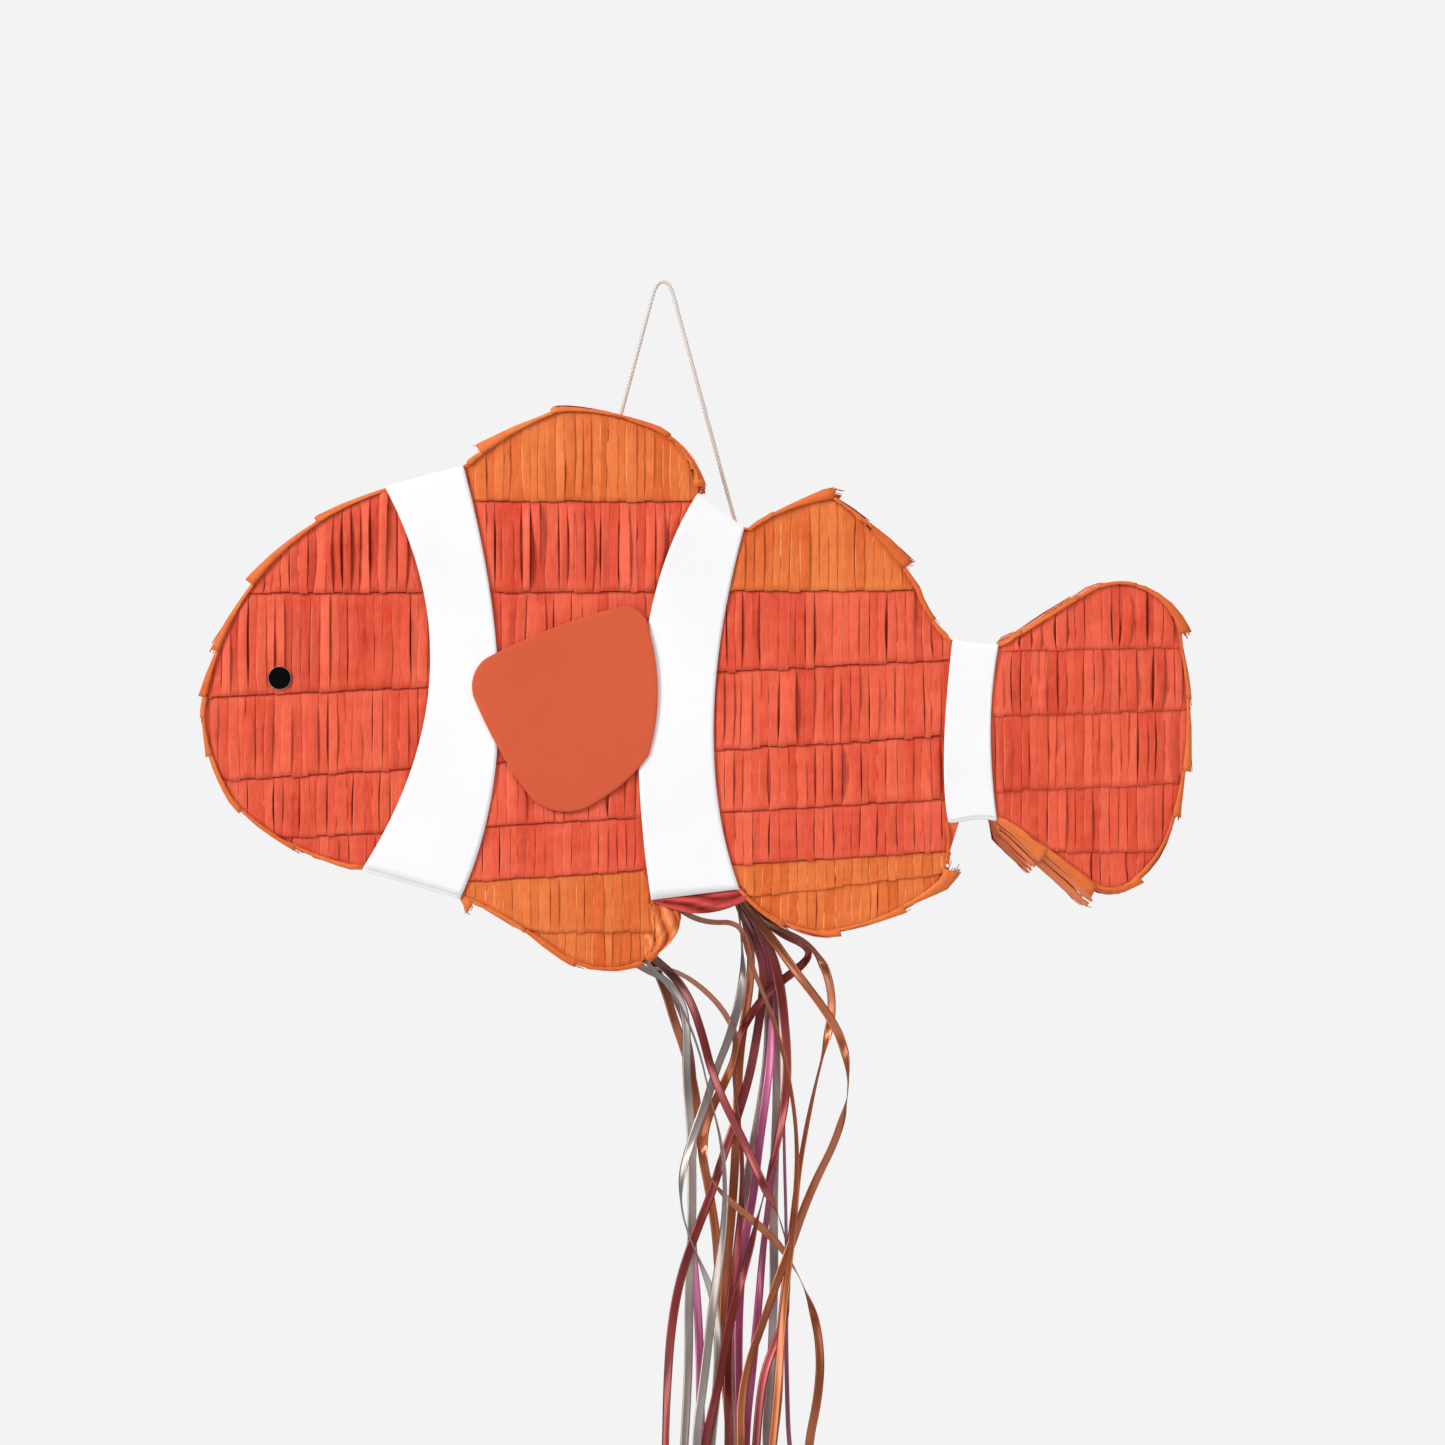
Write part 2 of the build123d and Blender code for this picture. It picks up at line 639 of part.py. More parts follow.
def ribbon_route(depth, points):
    """A ribbon's corner points in space, from its tape down to its cut end."""
    last = len(points) - 1
    return [
        Vector(x, depth * (1 + (ribbon_gather - 1) * i / last), z) for i, (x, z) in enumerate(points)
    ]


def bend_radii(route):
    """The largest arc for each corner that leaves a tenth of its shorter run straight."""
    radii = []
    for before, corner, after in zip(route, route[1:], route[2:]):
        turn = radians((corner - before).get_angle(after - corner))
        shorter = min((corner - before).length, (after - corner).length)
        radii.append(0.45 * shorter / tan(turn / 2))
    return radii


for name, (depth, points) in ribbons.items():
    route = ribbon_route(depth, points)
    radii = bend_radii(route)
    with BuildPart() as ribbon:
        with BuildLine():
            way = FilletPolyline(*route, radius=radii)
        with BuildSketch(Plane(origin=route[0], z_dir=route[1] - route[0])):
            Circle(ribbon_tube / 2)
        sweep()
    finish(ribbon, name)
    section = pi * ribbon_tube**2 / 4
    share = ribbon.part.volume / (section * way.length)
    print(f"{name}: {way.length:.0f} mm long, volume {share:.3f} of section times length")
    print("  radii", " ".join(f"{radius:.0f}" for radius in radii))
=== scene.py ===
# %% [markdown]
# # A clownfish pinata in cut tissue paper
# The real thing is a hollow fish of corrugated card. Rows of tissue paper, each cut into strips,
# are glued over it, and white paper stripes, card fins and card eyes go on top. It hangs from a
# loop of cotton cord, and a bunch of curling ribbon hangs below: one of them opens a trapdoor.
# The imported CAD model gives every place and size, and this file gives each piece its surface.

import bpy
import numpy as np
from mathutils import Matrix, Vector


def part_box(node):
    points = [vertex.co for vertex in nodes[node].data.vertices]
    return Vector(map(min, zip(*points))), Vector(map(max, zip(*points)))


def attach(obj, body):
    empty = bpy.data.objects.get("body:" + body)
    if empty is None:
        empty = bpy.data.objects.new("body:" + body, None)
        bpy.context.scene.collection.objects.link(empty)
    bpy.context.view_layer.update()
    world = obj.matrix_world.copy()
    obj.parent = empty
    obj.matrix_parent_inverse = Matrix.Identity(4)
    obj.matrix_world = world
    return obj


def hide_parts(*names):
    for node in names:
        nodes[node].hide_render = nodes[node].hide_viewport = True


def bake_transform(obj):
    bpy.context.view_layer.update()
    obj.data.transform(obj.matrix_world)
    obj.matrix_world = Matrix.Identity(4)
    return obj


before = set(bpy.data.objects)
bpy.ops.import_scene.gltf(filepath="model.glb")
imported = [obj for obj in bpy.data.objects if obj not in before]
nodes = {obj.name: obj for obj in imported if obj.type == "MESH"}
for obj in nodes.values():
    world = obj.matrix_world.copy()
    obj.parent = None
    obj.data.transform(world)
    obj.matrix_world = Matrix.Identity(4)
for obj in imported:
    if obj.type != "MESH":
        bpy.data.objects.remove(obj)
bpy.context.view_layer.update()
mm = 0.001

# %% [markdown]
# The camera stands three metres in front of the fish's near face and looks straight at it. It is
# made first, so that what it sees is known from the start.

# %% Camera
scene = bpy.context.scene
scene.view_settings.view_transform = "Standard"
front_y = -45 * mm
camera_distance = 3.0
view_width = 0.8028  # of the plane of the near face
view_x, view_z = 33.6 * mm, -247.5 * mm  # the middle of the view
sensor_width = 36  # in mm, as the lens is
camera_data = bpy.data.cameras.new("camera")
camera_data.sensor_width = sensor_width
camera_data.lens = sensor_width * camera_distance / view_width
camera = bpy.data.objects.new("camera", camera_data)
camera.location = (view_x, front_y - camera_distance, view_z)
camera.rotation_euler = (np.pi / 2, 0, 0)
scene.collection.objects.link(camera)
scene.camera = camera
print(f"lens {camera_data.lens:.1f} mm")

# %% [markdown]
# ## Light
# One broad soft lamp stands to the upper left. A weaker one to the right fills its shadows, and
# two more light the fish's top and its back.

# %% Lights
def area_light(name, place, aim, width, watts):
    """A square light at that place, turned towards the aim."""
    data = bpy.data.lights.new(name, "AREA")
    data.size = width
    data.energy = watts
    light = bpy.data.objects.new(name, data)
    light.location = place
    way = np.subtract(aim, place)
    light.rotation_euler = (
        np.pi - np.arccos(way[2] / np.linalg.norm(way)),
        0,
        np.arctan2(way[1], way[0]) - np.pi / 2,
    )
    scene.collection.objects.link(light)


fish_middle = (0.02, 0, -0.25)
area_light("key_light", (-1.9, -1.5, 1.2), fish_middle, 0.6, 29)
area_light("fill_light", (2.1, -1.7, 0.3), fish_middle, 1.2, 13)
area_light("top_light", (0.2, 0.2, 1.9), fish_middle, 1.0, 4)
area_light("back_light", (0.8, 2.3, 0.7), fish_middle, 1.4, 42)
print(len(bpy.data.lights), "lights")

# %% [markdown]
# ## Shader nodes
# Finishes are built from nodes in code. Value lets plain arithmetic stand for Math nodes, and
# Maker adds every other kind of node.

# %% Helpers for shader nodes
class Value:
    """A shader socket that Python's + - * work on: each adds its Math node."""

    def __init__(self, maker, socket):
        self.maker = maker
        self.socket = socket

    def math(self, operation, *values):
        return self.maker.node("Math", dict(enumerate(values)), operation=operation)[0]

    def __add__(self, other):
        return self.math("ADD", self, other)

    def __radd__(self, other):
        return self.math("ADD", other, self)

    def __sub__(self, other):
        return self.math("SUBTRACT", self, other)

    def __rsub__(self, other):
        return self.math("SUBTRACT", other, self)

    def __mul__(self, other):
        return self.math("MULTIPLY", self, other)

    def __rmul__(self, other):
        return self.math("MULTIPLY", other, self)


class Maker:
    """Adds nodes to one node tree. node() makes any node from its type, settings and sockets."""

    def __init__(self, tree):
        self.tree = tree

    def node(self, kind, sockets=None, stops=(), **settings):
        made = self.tree.nodes.new("ShaderNode" + kind)
        for key, setting in settings.items():
            setattr(made, key, setting)
        for place, (position, colour) in enumerate(stops):
            if place > 1:
                made.color_ramp.elements.new(position)
            made.color_ramp.elements[place].position = position
            made.color_ramp.elements[place].color = (*colour, 1)
        for key, value in (sockets or {}).items():
            if isinstance(value, Value):
                self.tree.links.new(value.socket, made.inputs[key])
            else:
                made.inputs[key].default_value = value
        return [Value(self, socket) for socket in made.outputs]

    def mix(self, factor, a, b):
        """Colour a where the factor is 0 and b where it is 1."""
        a, b = ((*c, 1) if isinstance(c, tuple) else c for c in (a, b))
        return self.node("Mix", {0: factor, 6: a, 7: b}, data_type="RGBA")[2]

    def number(self, name):
        """A number that the piece carries on its points, as it varies over the surface."""
        return self.node("Attribute", attribute_name=name)[2]

    def noise(self, scale, detail):
        """Soft noise of that many cells a metre through the object."""
        place = self.node("TexCoord")[3]
        return self.node("TexNoise", {"Vector": place, "Scale": scale, "Detail": detail})[0]

    def streaks(self, across, along, detail):
        """Noise on the piece's UV map, of that many cells a metre across it and along it."""
        flat = self.node("UVMap", uv_map="along")[0]
        place = self.node("Mapping", {"Vector": flat, "Scale": (across, along, 1)})[0]
        return self.node("TexNoise", {"Vector": place, "Scale": 1.0, "Detail": detail})[0]

    def bump(self, height, strength, depth):
        """A normal that follows a height from 0 to 1 of that depth."""
        return self.node("Bump", {"Height": height, "Strength": strength, "Distance": depth})[0]


def linear(red, green, blue):
    """A colour given in the 0 to 255 of a paint chart, as the linear light that shaders use."""
    shade = np.array([red, green, blue]) / 255
    return tuple(np.where(shade < 0.04045, shade / 12.92, ((shade + 0.055) / 1.055) ** 2.4).tolist())


def greys(*stops):
    """A ramp's stops from pairs of a position and a grey."""
    return [(position, (grey,) * 3) for position, grey in stops]


print("grey 243 is", round(linear(243, 243, 243)[0], 3), "in linear light")

# %% [markdown]
# The surround is the world. It shows as plain pale grey, while it lights the fish more from above.
# It also holds one tall bright panel in front to the left, which metallic ribbon mirrors as pale
# streaks. The floor lies far below the fish, out of the front view.

# %% Surround and floor
backdrop_colour = linear(243, 243, 243)
world = bpy.data.worlds.new("studio")
scene.world = world
world.use_nodes = True
world.node_tree.nodes.clear()
air = Maker(world.node_tree)
heading = air.node("TexCoord")[0]
across_room, into_room, height = air.node("SeparateXYZ", {0: heading})
# The first ramp says how bright the surround is by height. The second is the panel, by the cosine
# of the angle to it: the square of the height makes up for what the cosine loses away from the
# horizon, and so makes the panel tall.
surround_strength = 0.55
soft_box = greys((0.0, 0.28), (0.57, 0.42), (0.67, 1.4), (1.0, 1.4))
band = air.node("ValToRGB", {0: height * 0.5 + 0.5}, stops=soft_box)[0]
toward_panel = across_room * -0.81 - into_room * 0.59 + height * height * 0.5
tall_panel = greys((0.0, 0.0), (0.962, 0.0), (0.984, 4.6), (1.0, 4.6))
panel = air.node("ValToRGB", {0: toward_panel}, stops=tall_panel)[0]
glow = air.node("VectorMath", {0: band, 1: panel}, operation="ADD")[0]
seen = air.node("LightPath")[0]
seen_shade = air.node("Background", {"Color": (*backdrop_colour, 1), "Strength": 1.0})[0]
lit_shade = air.node("Background", {"Color": glow, "Strength": surround_strength})[0]
both = air.node("MixShader", {0: seen, 1: lit_shade, 2: seen_shade})[0]
air.node("OutputWorld", {"Surface": both})

floor_height = -3.0  # low enough for a camera that looks up at the fish from below
floor_radius = 6.0
floor_sides = 96
turn = np.linspace(0, 2 * np.pi, floor_sides, endpoint=False)
floor_ring = np.stack([np.cos(turn), np.sin(turn), np.zeros(floor_sides)], axis=1) * floor_radius
floor_ring[:, 2] = floor_height
floor_mesh = bpy.data.meshes.new("floor")
floor_mesh.from_pydata(floor_ring.tolist(), [], [list(range(floor_sides))])
floor = bpy.data.objects.new("floor", floor_mesh)
scene.collection.objects.link(floor)
floor_paint = bpy.data.materials.new("floor_paint")
floor_paint.use_nodes = True
floor_sockets = floor_paint.node_tree.nodes["Principled BSDF"].inputs
floor_sockets["Base Color"].default_value = (0.86, 0.86, 0.86, 1)
floor_sockets["Roughness"].default_value = 0.9
floor.data.materials.append(floor_paint)
print(len(bpy.data.lights), "lights, and a floor", -floor_height, "m down")

# %% [markdown]
# ## Finishes
# Tissue paper is thin, soft and a little glossy. Each strip carries its own tone, a number for the
# painted shade and painted highlights at its cut edges, and a UV map in metres across and along it. The
# finish reads those, so that the fine creases of the paper run along every strip, whichever way it hangs.

# %% Paper finishes
def surface(name, **constants):
    """A new material: its node maker and its main shader, with the constants set on it."""
    material = bpy.data.materials.new(name)
    material.use_nodes = True
    maker = Maker(material.node_tree)
    shader = material.node_tree.nodes["Principled BSDF"]
    for key, value in constants.items():
        shader.inputs[key.replace("_", " ")].default_value = value
    return material, maker, shader


def wire(maker, shader, **values):
    """Links worked-out values to the main shader's sockets."""
    for key, value in values.items():
        maker.tree.links.new(value.socket, shader.inputs[key.replace("_", " ")])


def tissue_finish(name, light, dark, edge, painted_glint_colour):
    """Strips vary from light to dark by their tone and have soft cloudy patches, puckers and fine creases
    along their length. Where its edge number is above 0, a cut edge is darkened towards the third colour
    as painted shade in the slit, and where it is below 0, it is lightened towards the fourth colour as a
    painted highlight."""
    material, maker, shader = surface(name, Sheen_Weight=0.06, Specular_IOR_Level=0.25)
    creases = maker.streaks(2600, 260, 3.0)
    puckers = maker.streaks(420, 110, 3.0)
    cloud = maker.noise(38.0, 4.0)
    patches = maker.noise(160.0, 2.0)
    tone = maker.number("tone") * 0.42
    shade = tone + cloud * 0.6 + patches * 0.3 + puckers * 0.3 + creases * 0.12 - 0.42
    near_edge = maker.number("edge")
    # Above 0 the edge number is painted shade in the slits, below 0 a painted highlight.
    painted_shadow = near_edge.math("MAXIMUM", near_edge, 0.0)
    painted_glint = near_edge.math("MAXIMUM", near_edge * -1.0, 0.0)
    cut = maker.mix(painted_glint, maker.mix(painted_shadow, maker.mix(shade, light, dark), edge), painted_glint_colour)
    dents = creases * 0.25 + puckers * 1.0 + patches * 0.9
    wire(maker, shader, Base_Color=cut, Roughness=creases * 0.2 + 0.44,
         Normal=maker.bump(dents, 0.8, 0.9 * mm))
    return material


# Each tissue's third colour is painted shade in the slits, and its fourth a painted highlight along them.
red_tissue = tissue_finish("red_tissue", linear(246, 110, 78), linear(206, 46, 16),
                           linear(128, 24, 12), linear(255, 150, 120))
orange_tissue = tissue_finish("orange_tissue", linear(243, 134, 68), linear(207, 74, 8),
                              linear(140, 48, 12), linear(255, 190, 120))
dark_red_tissue = tissue_finish("dark_red_tissue", linear(206, 62, 56), linear(150, 34, 30),
                                linear(86, 14, 14), linear(236, 110, 100))


def paper_finish(name, light, dark, grain, roughness, depth):
    """Plain paper or thin card: cloudy tone, fine fibres, and a soft bump of that depth."""
    material, maker, shader = surface(name, Specular_IOR_Level=0.3)
    fibres = maker.noise(grain, 4.0)
    shade = maker.noise(30.0, 3.0) * 0.7 + fibres * 0.5 - 0.1
    wire(maker, shader, Base_Color=maker.mix(shade, light, dark),
         Roughness=fibres * 0.15 + roughness, Normal=maker.bump(fibres, 0.4, depth))
    return material


stripe_paper = paper_finish("stripe_paper", linear(252, 252, 252), linear(239, 237, 241),
                            900.0, 0.6, 0.1 * mm)
fin_card = paper_finish("fin_card", linear(217, 94, 58), linear(201, 82, 48), 1100.0, 0.62, 0.08 * mm)
kraft_card = paper_finish("kraft_card", linear(196, 158, 114), linear(160, 120, 80),
                          420.0, 0.7, 0.1 * mm)
paper_tape = paper_finish("paper_tape", linear(222, 202, 160), linear(196, 170, 122),
                          600.0, 0.6, 0.1 * mm)


def rim_finish(name, face, rim):
    """Card that is painted on its faces and shows its pale middle where it is cut."""
    material, maker, shader = surface(name, Specular_IOR_Level=0.06)
    fibres = maker.noise(1400.0, 3.0)
    wire(maker, shader, Base_Color=maker.mix(maker.number("edge"), face, rim),
         Roughness=fibres * 0.2 + 0.6, Normal=maker.bump(fibres, 0.3, 0.05 * mm))
    return material


eye_card = rim_finish("eye_card", linear(3, 3, 3), linear(206, 200, 196))


def ribbon_finish(name, light, dark):
    """Curling ribbon: a smooth metallic film with faint lines drawn along it. Its edge number darkens it
    towards a deep copy of its dark colour as painted shade at the top of the bunch, where the ribbons
    leave the fish."""
    material, maker, shader = surface(name, Coat_Weight=0.6, Coat_Roughness=0.26, Coat_IOR=1.9)
    lines = maker.streaks(3200, 9, 2.0)
    flow = maker.streaks(40, 22, 1.0)
    shade = lines * 0.4 + flow * 1.1 - 0.25
    # A deep copy of the dark colour, for the painted shade at the top of the bunch.
    painted_shade_colour = tuple(0.3 * value for value in dark)
    wire(maker, shader, Base_Color=maker.mix(maker.number("edge"), maker.mix(shade, light, dark), painted_shade_colour),
         Metallic=lines * 0.1 + 0.7, Roughness=lines * 0.14 + 0.25,
         Normal=maker.bump(lines, 0.15, 0.03 * mm))
    return material


ribbon_shades = {
    "copper": (linear(212, 114, 50), linear(138, 62, 14)),
    "silver": (linear(206, 192, 185), linear(122, 108, 102)),
    "red": (linear(176, 38, 34), linear(98, 14, 12)),
    "magenta": (linear(222, 112, 164), linear(150, 52, 98)),
}
ribbon_finishes = {
    kind: ribbon_finish(kind + "_ribbon", *shades) for kind, shades in ribbon_shades.items()
}


def cotton_finish(name, light, dark):
    """Twisted cotton: pale fibres that run along the strands, with painted shade in the grooves between
    them.
    """
    material, maker, shader = surface(name, Sheen_Weight=0.2)
    fibres = maker.streaks(4200, 700, 4.0)
    shade = maker.number("edge") * 0.7 + fibres * 0.3
    wire(maker, shader, Base_Color=maker.mix(shade, light, dark), Roughness=fibres * 0.1 + 0.78,
         Normal=maker.bump(fibres, 0.5, 0.08 * mm))
    return material


white_cotton = cotton_finish("white_cotton", linear(246, 244, 240), linear(176, 168, 158))
print(len(bpy.data.materials), "finishes")

# %% [markdown]
# ## Reading the fish's outline
# Every row of tissue has to end exactly where the card does. The CAD pieces already know where
# that is, so their flat faces are read: an edge that only one triangle uses is on the boundary.

# %% Boundaries of the CAD faces
def face_border(node, y):
    """The boundary of a node's flat face at that y, as an array of edges [edge, end, (x, z)]."""
    mesh = nodes[node].data
    mesh.calc_loop_triangles()
    points = np.empty(len(mesh.vertices) * 3)
    mesh.vertices.foreach_get("co", points)
    points = points.reshape(-1, 3)
    triangles = np.empty(len(mesh.loop_triangles) * 3, int)
    mesh.loop_triangles.foreach_get("vertices", triangles)
    triangles = triangles.reshape(-1, 3)
    flat = np.abs(points[triangles][:, :, 1] - y).max(axis=1) < 0.01 * mm
    corners = points[triangles[flat]][:, :, [0, 2]].reshape(-1, 2)
    microns = np.round(corners * 1e6).astype(int)
    _, first, merged = np.unique(microns, axis=0, return_index=True, return_inverse=True)
    merged = merged.reshape(-1, 3)
    edges = np.concatenate([merged[:, [0, 1]], merged[:, [1, 2]], merged[:, [2, 0]]])
    code = edges[:, 0] * len(first) + edges[:, 1]
    opposite = edges[:, 1] * len(first) + edges[:, 0]
    return corners[first][edges[~np.isin(code, opposite)]]


def follow(border):
    """The points of one closed boundary in order, clockwise as seen from the front."""
    after = {tuple(a): tuple(b) for a, b in border}
    point = next(iter(after))
    loop = [point]
    while len(loop) < len(after):
        point = after[point]
        loop.append(point)
    loop = np.array(loop)
    turned = np.roll(loop, -1, axis=0)
    area = (loop[:, 0] * turned[:, 1] - turned[:, 0] * loop[:, 1]).sum()
    return loop[::-1] if area > 0 else loop


def signed_depth(border, x, z):
    """How far each point is inside a boundary, or minus how far it is outside."""
    start, end = border[:, 0], border[:, 1]
    way = end - start
    points = np.stack([x.ravel(), z.ravel()], axis=1)[:, None]
    share = ((points - start) * way).sum(axis=2) / (way**2).sum(axis=1)
    nearest = start + np.clip(share, 0, 1)[:, :, None] * way
    distance = np.linalg.norm(points - nearest, axis=2).min(axis=1)
    straddles = (start[:, 0] > points[:, :, 0]) != (end[:, 0] > points[:, :, 0])
    run = np.where(way[:, 0] == 0, 1, way[:, 0])
    level = start[:, 1] + (points[:, :, 0] - start[:, 0]) / run * way[:, 1]
    inside = (straddles & (level > points[:, :, 1])).sum(axis=1) % 2
    return (distance * (2 * inside - 1)).reshape(x.shape)


def reach_along(line):
    """How far each point of a line is from its start, along the line."""
    return np.concatenate([[0], np.cumsum(np.linalg.norm(np.diff(line, axis=0), axis=1))])


def read_line(line, reach, at):
    """The points at those distances along a line."""
    return np.stack([np.interp(at, reach, axis) for axis in line.T], axis=-1)


outline = follow(face_border("front_panel", front_y))
closed_outline = np.concatenate([outline, outline[:1]])
outline_reach = reach_along(closed_outline)
outline_length = outline_reach[-1]
print(f"outline of {len(outline)} points, {outline_length / mm:.0f} mm round")


def on_outline(reach):
    """Points at those distances along the outline, and the unit normals there, pointing out."""

    def place(distance):
        return read_line(closed_outline, outline_reach, np.mod(distance, outline_length))

    reach = np.asarray(reach, float)
    window = 2.5 * mm
    forward = place(reach + window) - place(reach - window)
    forward /= np.linalg.norm(forward, axis=-1, keepdims=True)
    outward = np.stack([-forward[..., 1], forward[..., 0]], axis=-1)
    return place(reach), outward


fine_reach = np.linspace(0, outline_length, 4000, endpoint=False)
fine_outline = on_outline(fine_reach)[0]


def reach_of(x, z):
    """The distance along the outline of its point nearest to that one, given in mm."""
    away = np.linalg.norm(fine_outline - np.array([x, z]) * mm, axis=1)
    return fine_reach[away.argmin()]


# %% [markdown]
# ## Strips of tissue
# A row is one sheet with slits cut up and down it. The strips between the slits are joined at
# their two ends, and spring a little out and sideways in between. So a row is a grid per strip:
# one way across it, the other along it. The slits open only part of the way, and neighbours
# share their corners, which is what makes it read as one cut sheet and not as loose slats.

# %% Grids and pieces
across = np.array([0, 0.1, 0.5, 0.9, 1.0])
along_strip = np.array([0, 0.07, 0.18, 0.34, 0.5, 0.66, 0.82, 0.93, 1.0])
print(len(across), "points across a strip and", len(along_strip), "along it")


def smooth(value, low, high):
    """0 below low, 1 above high, and an S-curve between."""
    share = np.clip((value - low) / (high - low), 0, 1)
    return share * share * (3 - 2 * share)


def grid_quads(shape, flip=False, round_again=False):
    """The faces of grids in an array of shape [grid, row, column]. round_again joins the last
    column to the first."""
    count, rows, columns = shape
    index = np.arange(count * rows * columns).reshape(shape)
    if round_again:
        index = np.concatenate([index, index[:, :, :1]], axis=2)
    quads = np.stack(
        [index[:, :-1, :-1], index[:, 1:, :-1], index[:, 1:, 1:], index[:, :-1, 1:]], axis=-1
    ).reshape(-1, 4)
    return quads[:, ::-1] if flip else quads


def piece(name, points, faces, material, slot, body, replaced, flats, **numbers):
    """A finished object: its points and faces, UV map, numbers per point, finish and body."""
    mesh = bpy.data.meshes.new(name)
    points = np.asarray(points, float).reshape(-1, 3)
    mesh.from_pydata(points.tolist(), [], faces.tolist() if hasattr(faces, "tolist") else faces)
    mesh.validate()
    mesh.polygons.foreach_set("use_smooth", np.ones(len(mesh.polygons), bool))
    for key, value in numbers.items():
        mesh.attributes.new(key, "FLOAT", "POINT").data.foreach_set(
            "value", np.broadcast_to(value, points.shape[:1]).astype(np.float32).ravel()
        )
    corner = np.empty(len(mesh.loops), int)
    mesh.loops.foreach_get("vertex_index", corner)
    mesh.uv_layers.new(name="along").data.foreach_set("uv", flats.reshape(-1, 2)[corner].ravel())
    mesh.materials.append(material)
    made = bpy.data.objects.new(name, mesh)
    scene.collection.objects.link(made)
    if body:
        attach(made, body)
    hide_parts(*replaced)
    return made


def thicken(made, thickness):
    """Gives a single sheet its thickness, half to each side."""
    modifier = made.modifiers.new("paper", "SOLIDIFY")
    modifier.thickness = thickness
    modifier.offset = 0


class Strips:
    """The random facts of one row of strips: where the slits run and how each strip springs."""

    def __init__(self, draw, count, looseness, open_to):
        self.gap = draw.uniform(-0.45, 0.28, count + 1) * mm * looseness
        self.opens = draw.uniform(0.0, 0.16, count + 1) + draw.exponential(0.08, count + 1)
        self.opens += np.where(draw.random(count + 1) < 0.16, draw.uniform(0.3, 1.0, count + 1), 0)
        self.closes = open_to - draw.exponential(0.07, count + 1)
        self.drift = draw.normal(0, 0.5, count + 1) * mm
        self.bulge = draw.gamma(1.6, 0.6, count) * mm * looseness
        self.tilt = draw.normal(0, 1.0, count) * mm * looseness
        self.sway = draw.standard_t(4, count).clip(-5, 5) * 0.4 * mm * looseness
        self.peak = draw.uniform(0.6, 1.7, count)
        self.tone = draw.random(count)
        self.drop = draw.normal(0, 0.35, count) * mm
        self.crumple = draw.normal(0, 0.2, (count, len(along_strip), len(across))) * mm * looseness
        # How much painted shade each slit gets on one side, and painted highlight on the other side,
        # which turns to painted shade above 0.
        self.dark = draw.uniform(0.15, 1.0, count + 1) ** 1.5
        self.painted_glint = draw.uniform(-0.75, 0.35, count + 1)

    def slit(self):
        """How far each slit is open, [edge, row]: 0 at its ends and 1 along its middle."""
        v = along_strip[None]
        return smooth(v, self.opens[:, None], self.opens[:, None] + 0.12) * (
            1 - smooth(v, self.closes[:, None] - 0.1, self.closes[:, None])
        )

    def sideways(self, edges):
        """The place across the row of every point, [strip, row, column], from its edges'."""
        v = along_strip[None]
        open_slit = self.slit()
        line = edges[:, None] + self.drift[:, None] * v
        left = line[:-1] + self.gap[:-1, None] * open_slit[:-1]
        right = line[1:] - self.gap[1:, None] * open_slit[1:]
        swing = self.sway[:, None] * np.sin(np.pi * v)
        return (left + swing)[:, :, None] * (1 - across) + (right + swing)[:, :, None] * across

    def outwards(self, size):
        """How far every point springs out of the row, [strip, row, column]: most in the middle of
        the strip's length, a little less at its cut edges, and tilted to one side. size scales it
        to the strip's length."""
        v = along_strip[None, :, None]
        spring = np.sin(np.pi * v ** self.peak[:, None, None])
        crown = 1 - 0.35 * (2 * across - 1) ** 2
        return size[:, None, None] * (
            self.bulge[:, None, None] * spring * crown
            + self.tilt[:, None, None] * (across - 0.5) * spring
            + self.crumple * spring
        )

    def numbers(self):
        """Tone per strip, and per point the painted shade and painted highlight along open slits."""
        shape = self.crumple.shape
        tone = np.broadcast_to(self.tone[:, None, None], shape)
        open_slit = self.slit()
        # One side of each open slit gets painted highlight or shade, the other side painted shade.
        edge = np.zeros(shape)
        edge[:, :, 0] = open_slit[:-1] * self.painted_glint[:-1, None]
        edge[:, :, -1] = open_slit[1:] * self.dark[1:, None]
        return tone, edge


def heights_in(border, x):
    """The lowest and highest crossing of a boundary with upright lines at each x."""
    start, end = border[:, 0], border[:, 1]
    x = x[:, None]
    crosses = (start[:, 0] > x) != (end[:, 0] > x)
    run = np.where(crosses, end[:, 0] - start[:, 0], 1)
    level = start[:, 1] + (x - start[:, 0]) / run * (end[:, 1] - start[:, 1])
    low = np.where(crosses, level, np.inf).min(axis=1)
    high = np.where(crosses, level, -np.inf).max(axis=1)
    return low, high


# %% [markdown]
# ## What lies on the tissue
# Stripes, fins and eyes are glued over the tissue and press it flat, so the spring of a strip
# fades out as it nears their edges, and near the fish's own edge too. Strips that would be
# wholly covered are left out.

# %% Covers
stripe_front_y, fin_front_y, eye_front_y = -46.5 * mm, -47.5 * mm, -47 * mm
stripe_names = ("head_stripe", "body_stripe", "tail_stripe")
stripe_borders = [face_border(name, stripe_front_y) for name in stripe_names]
fin_border = face_border("front_pectoral_fin", fin_front_y)
eye_border = face_border("eyes", eye_front_y)
cover_borders = [*stripe_borders, fin_border, eye_border]
card_border = face_border("front_panel", front_y)
strip_pitch = 5.0 * mm


def pressed(x, z):
    """0 where tissue is free to spring, 1 under a cover."""
    depth = np.max([signed_depth(border, x, z) for border in cover_borders], axis=0)
    return smooth(depth, -3.5 * mm, 0.3 * mm), depth


print(len(cover_borders), "covers over the tissue")

# %% [markdown]
# ## Rows on the faces
# The body has five red rows whose lower edges fan out towards the nose, and the fins and tail
# have their own. The orange rows keep an uncut margin along their lower edge, the red rows are
# cut almost through. Each row's lower edge lies on the top of the row below it and lifts off a
# little, which draws the soft dark line between rows.

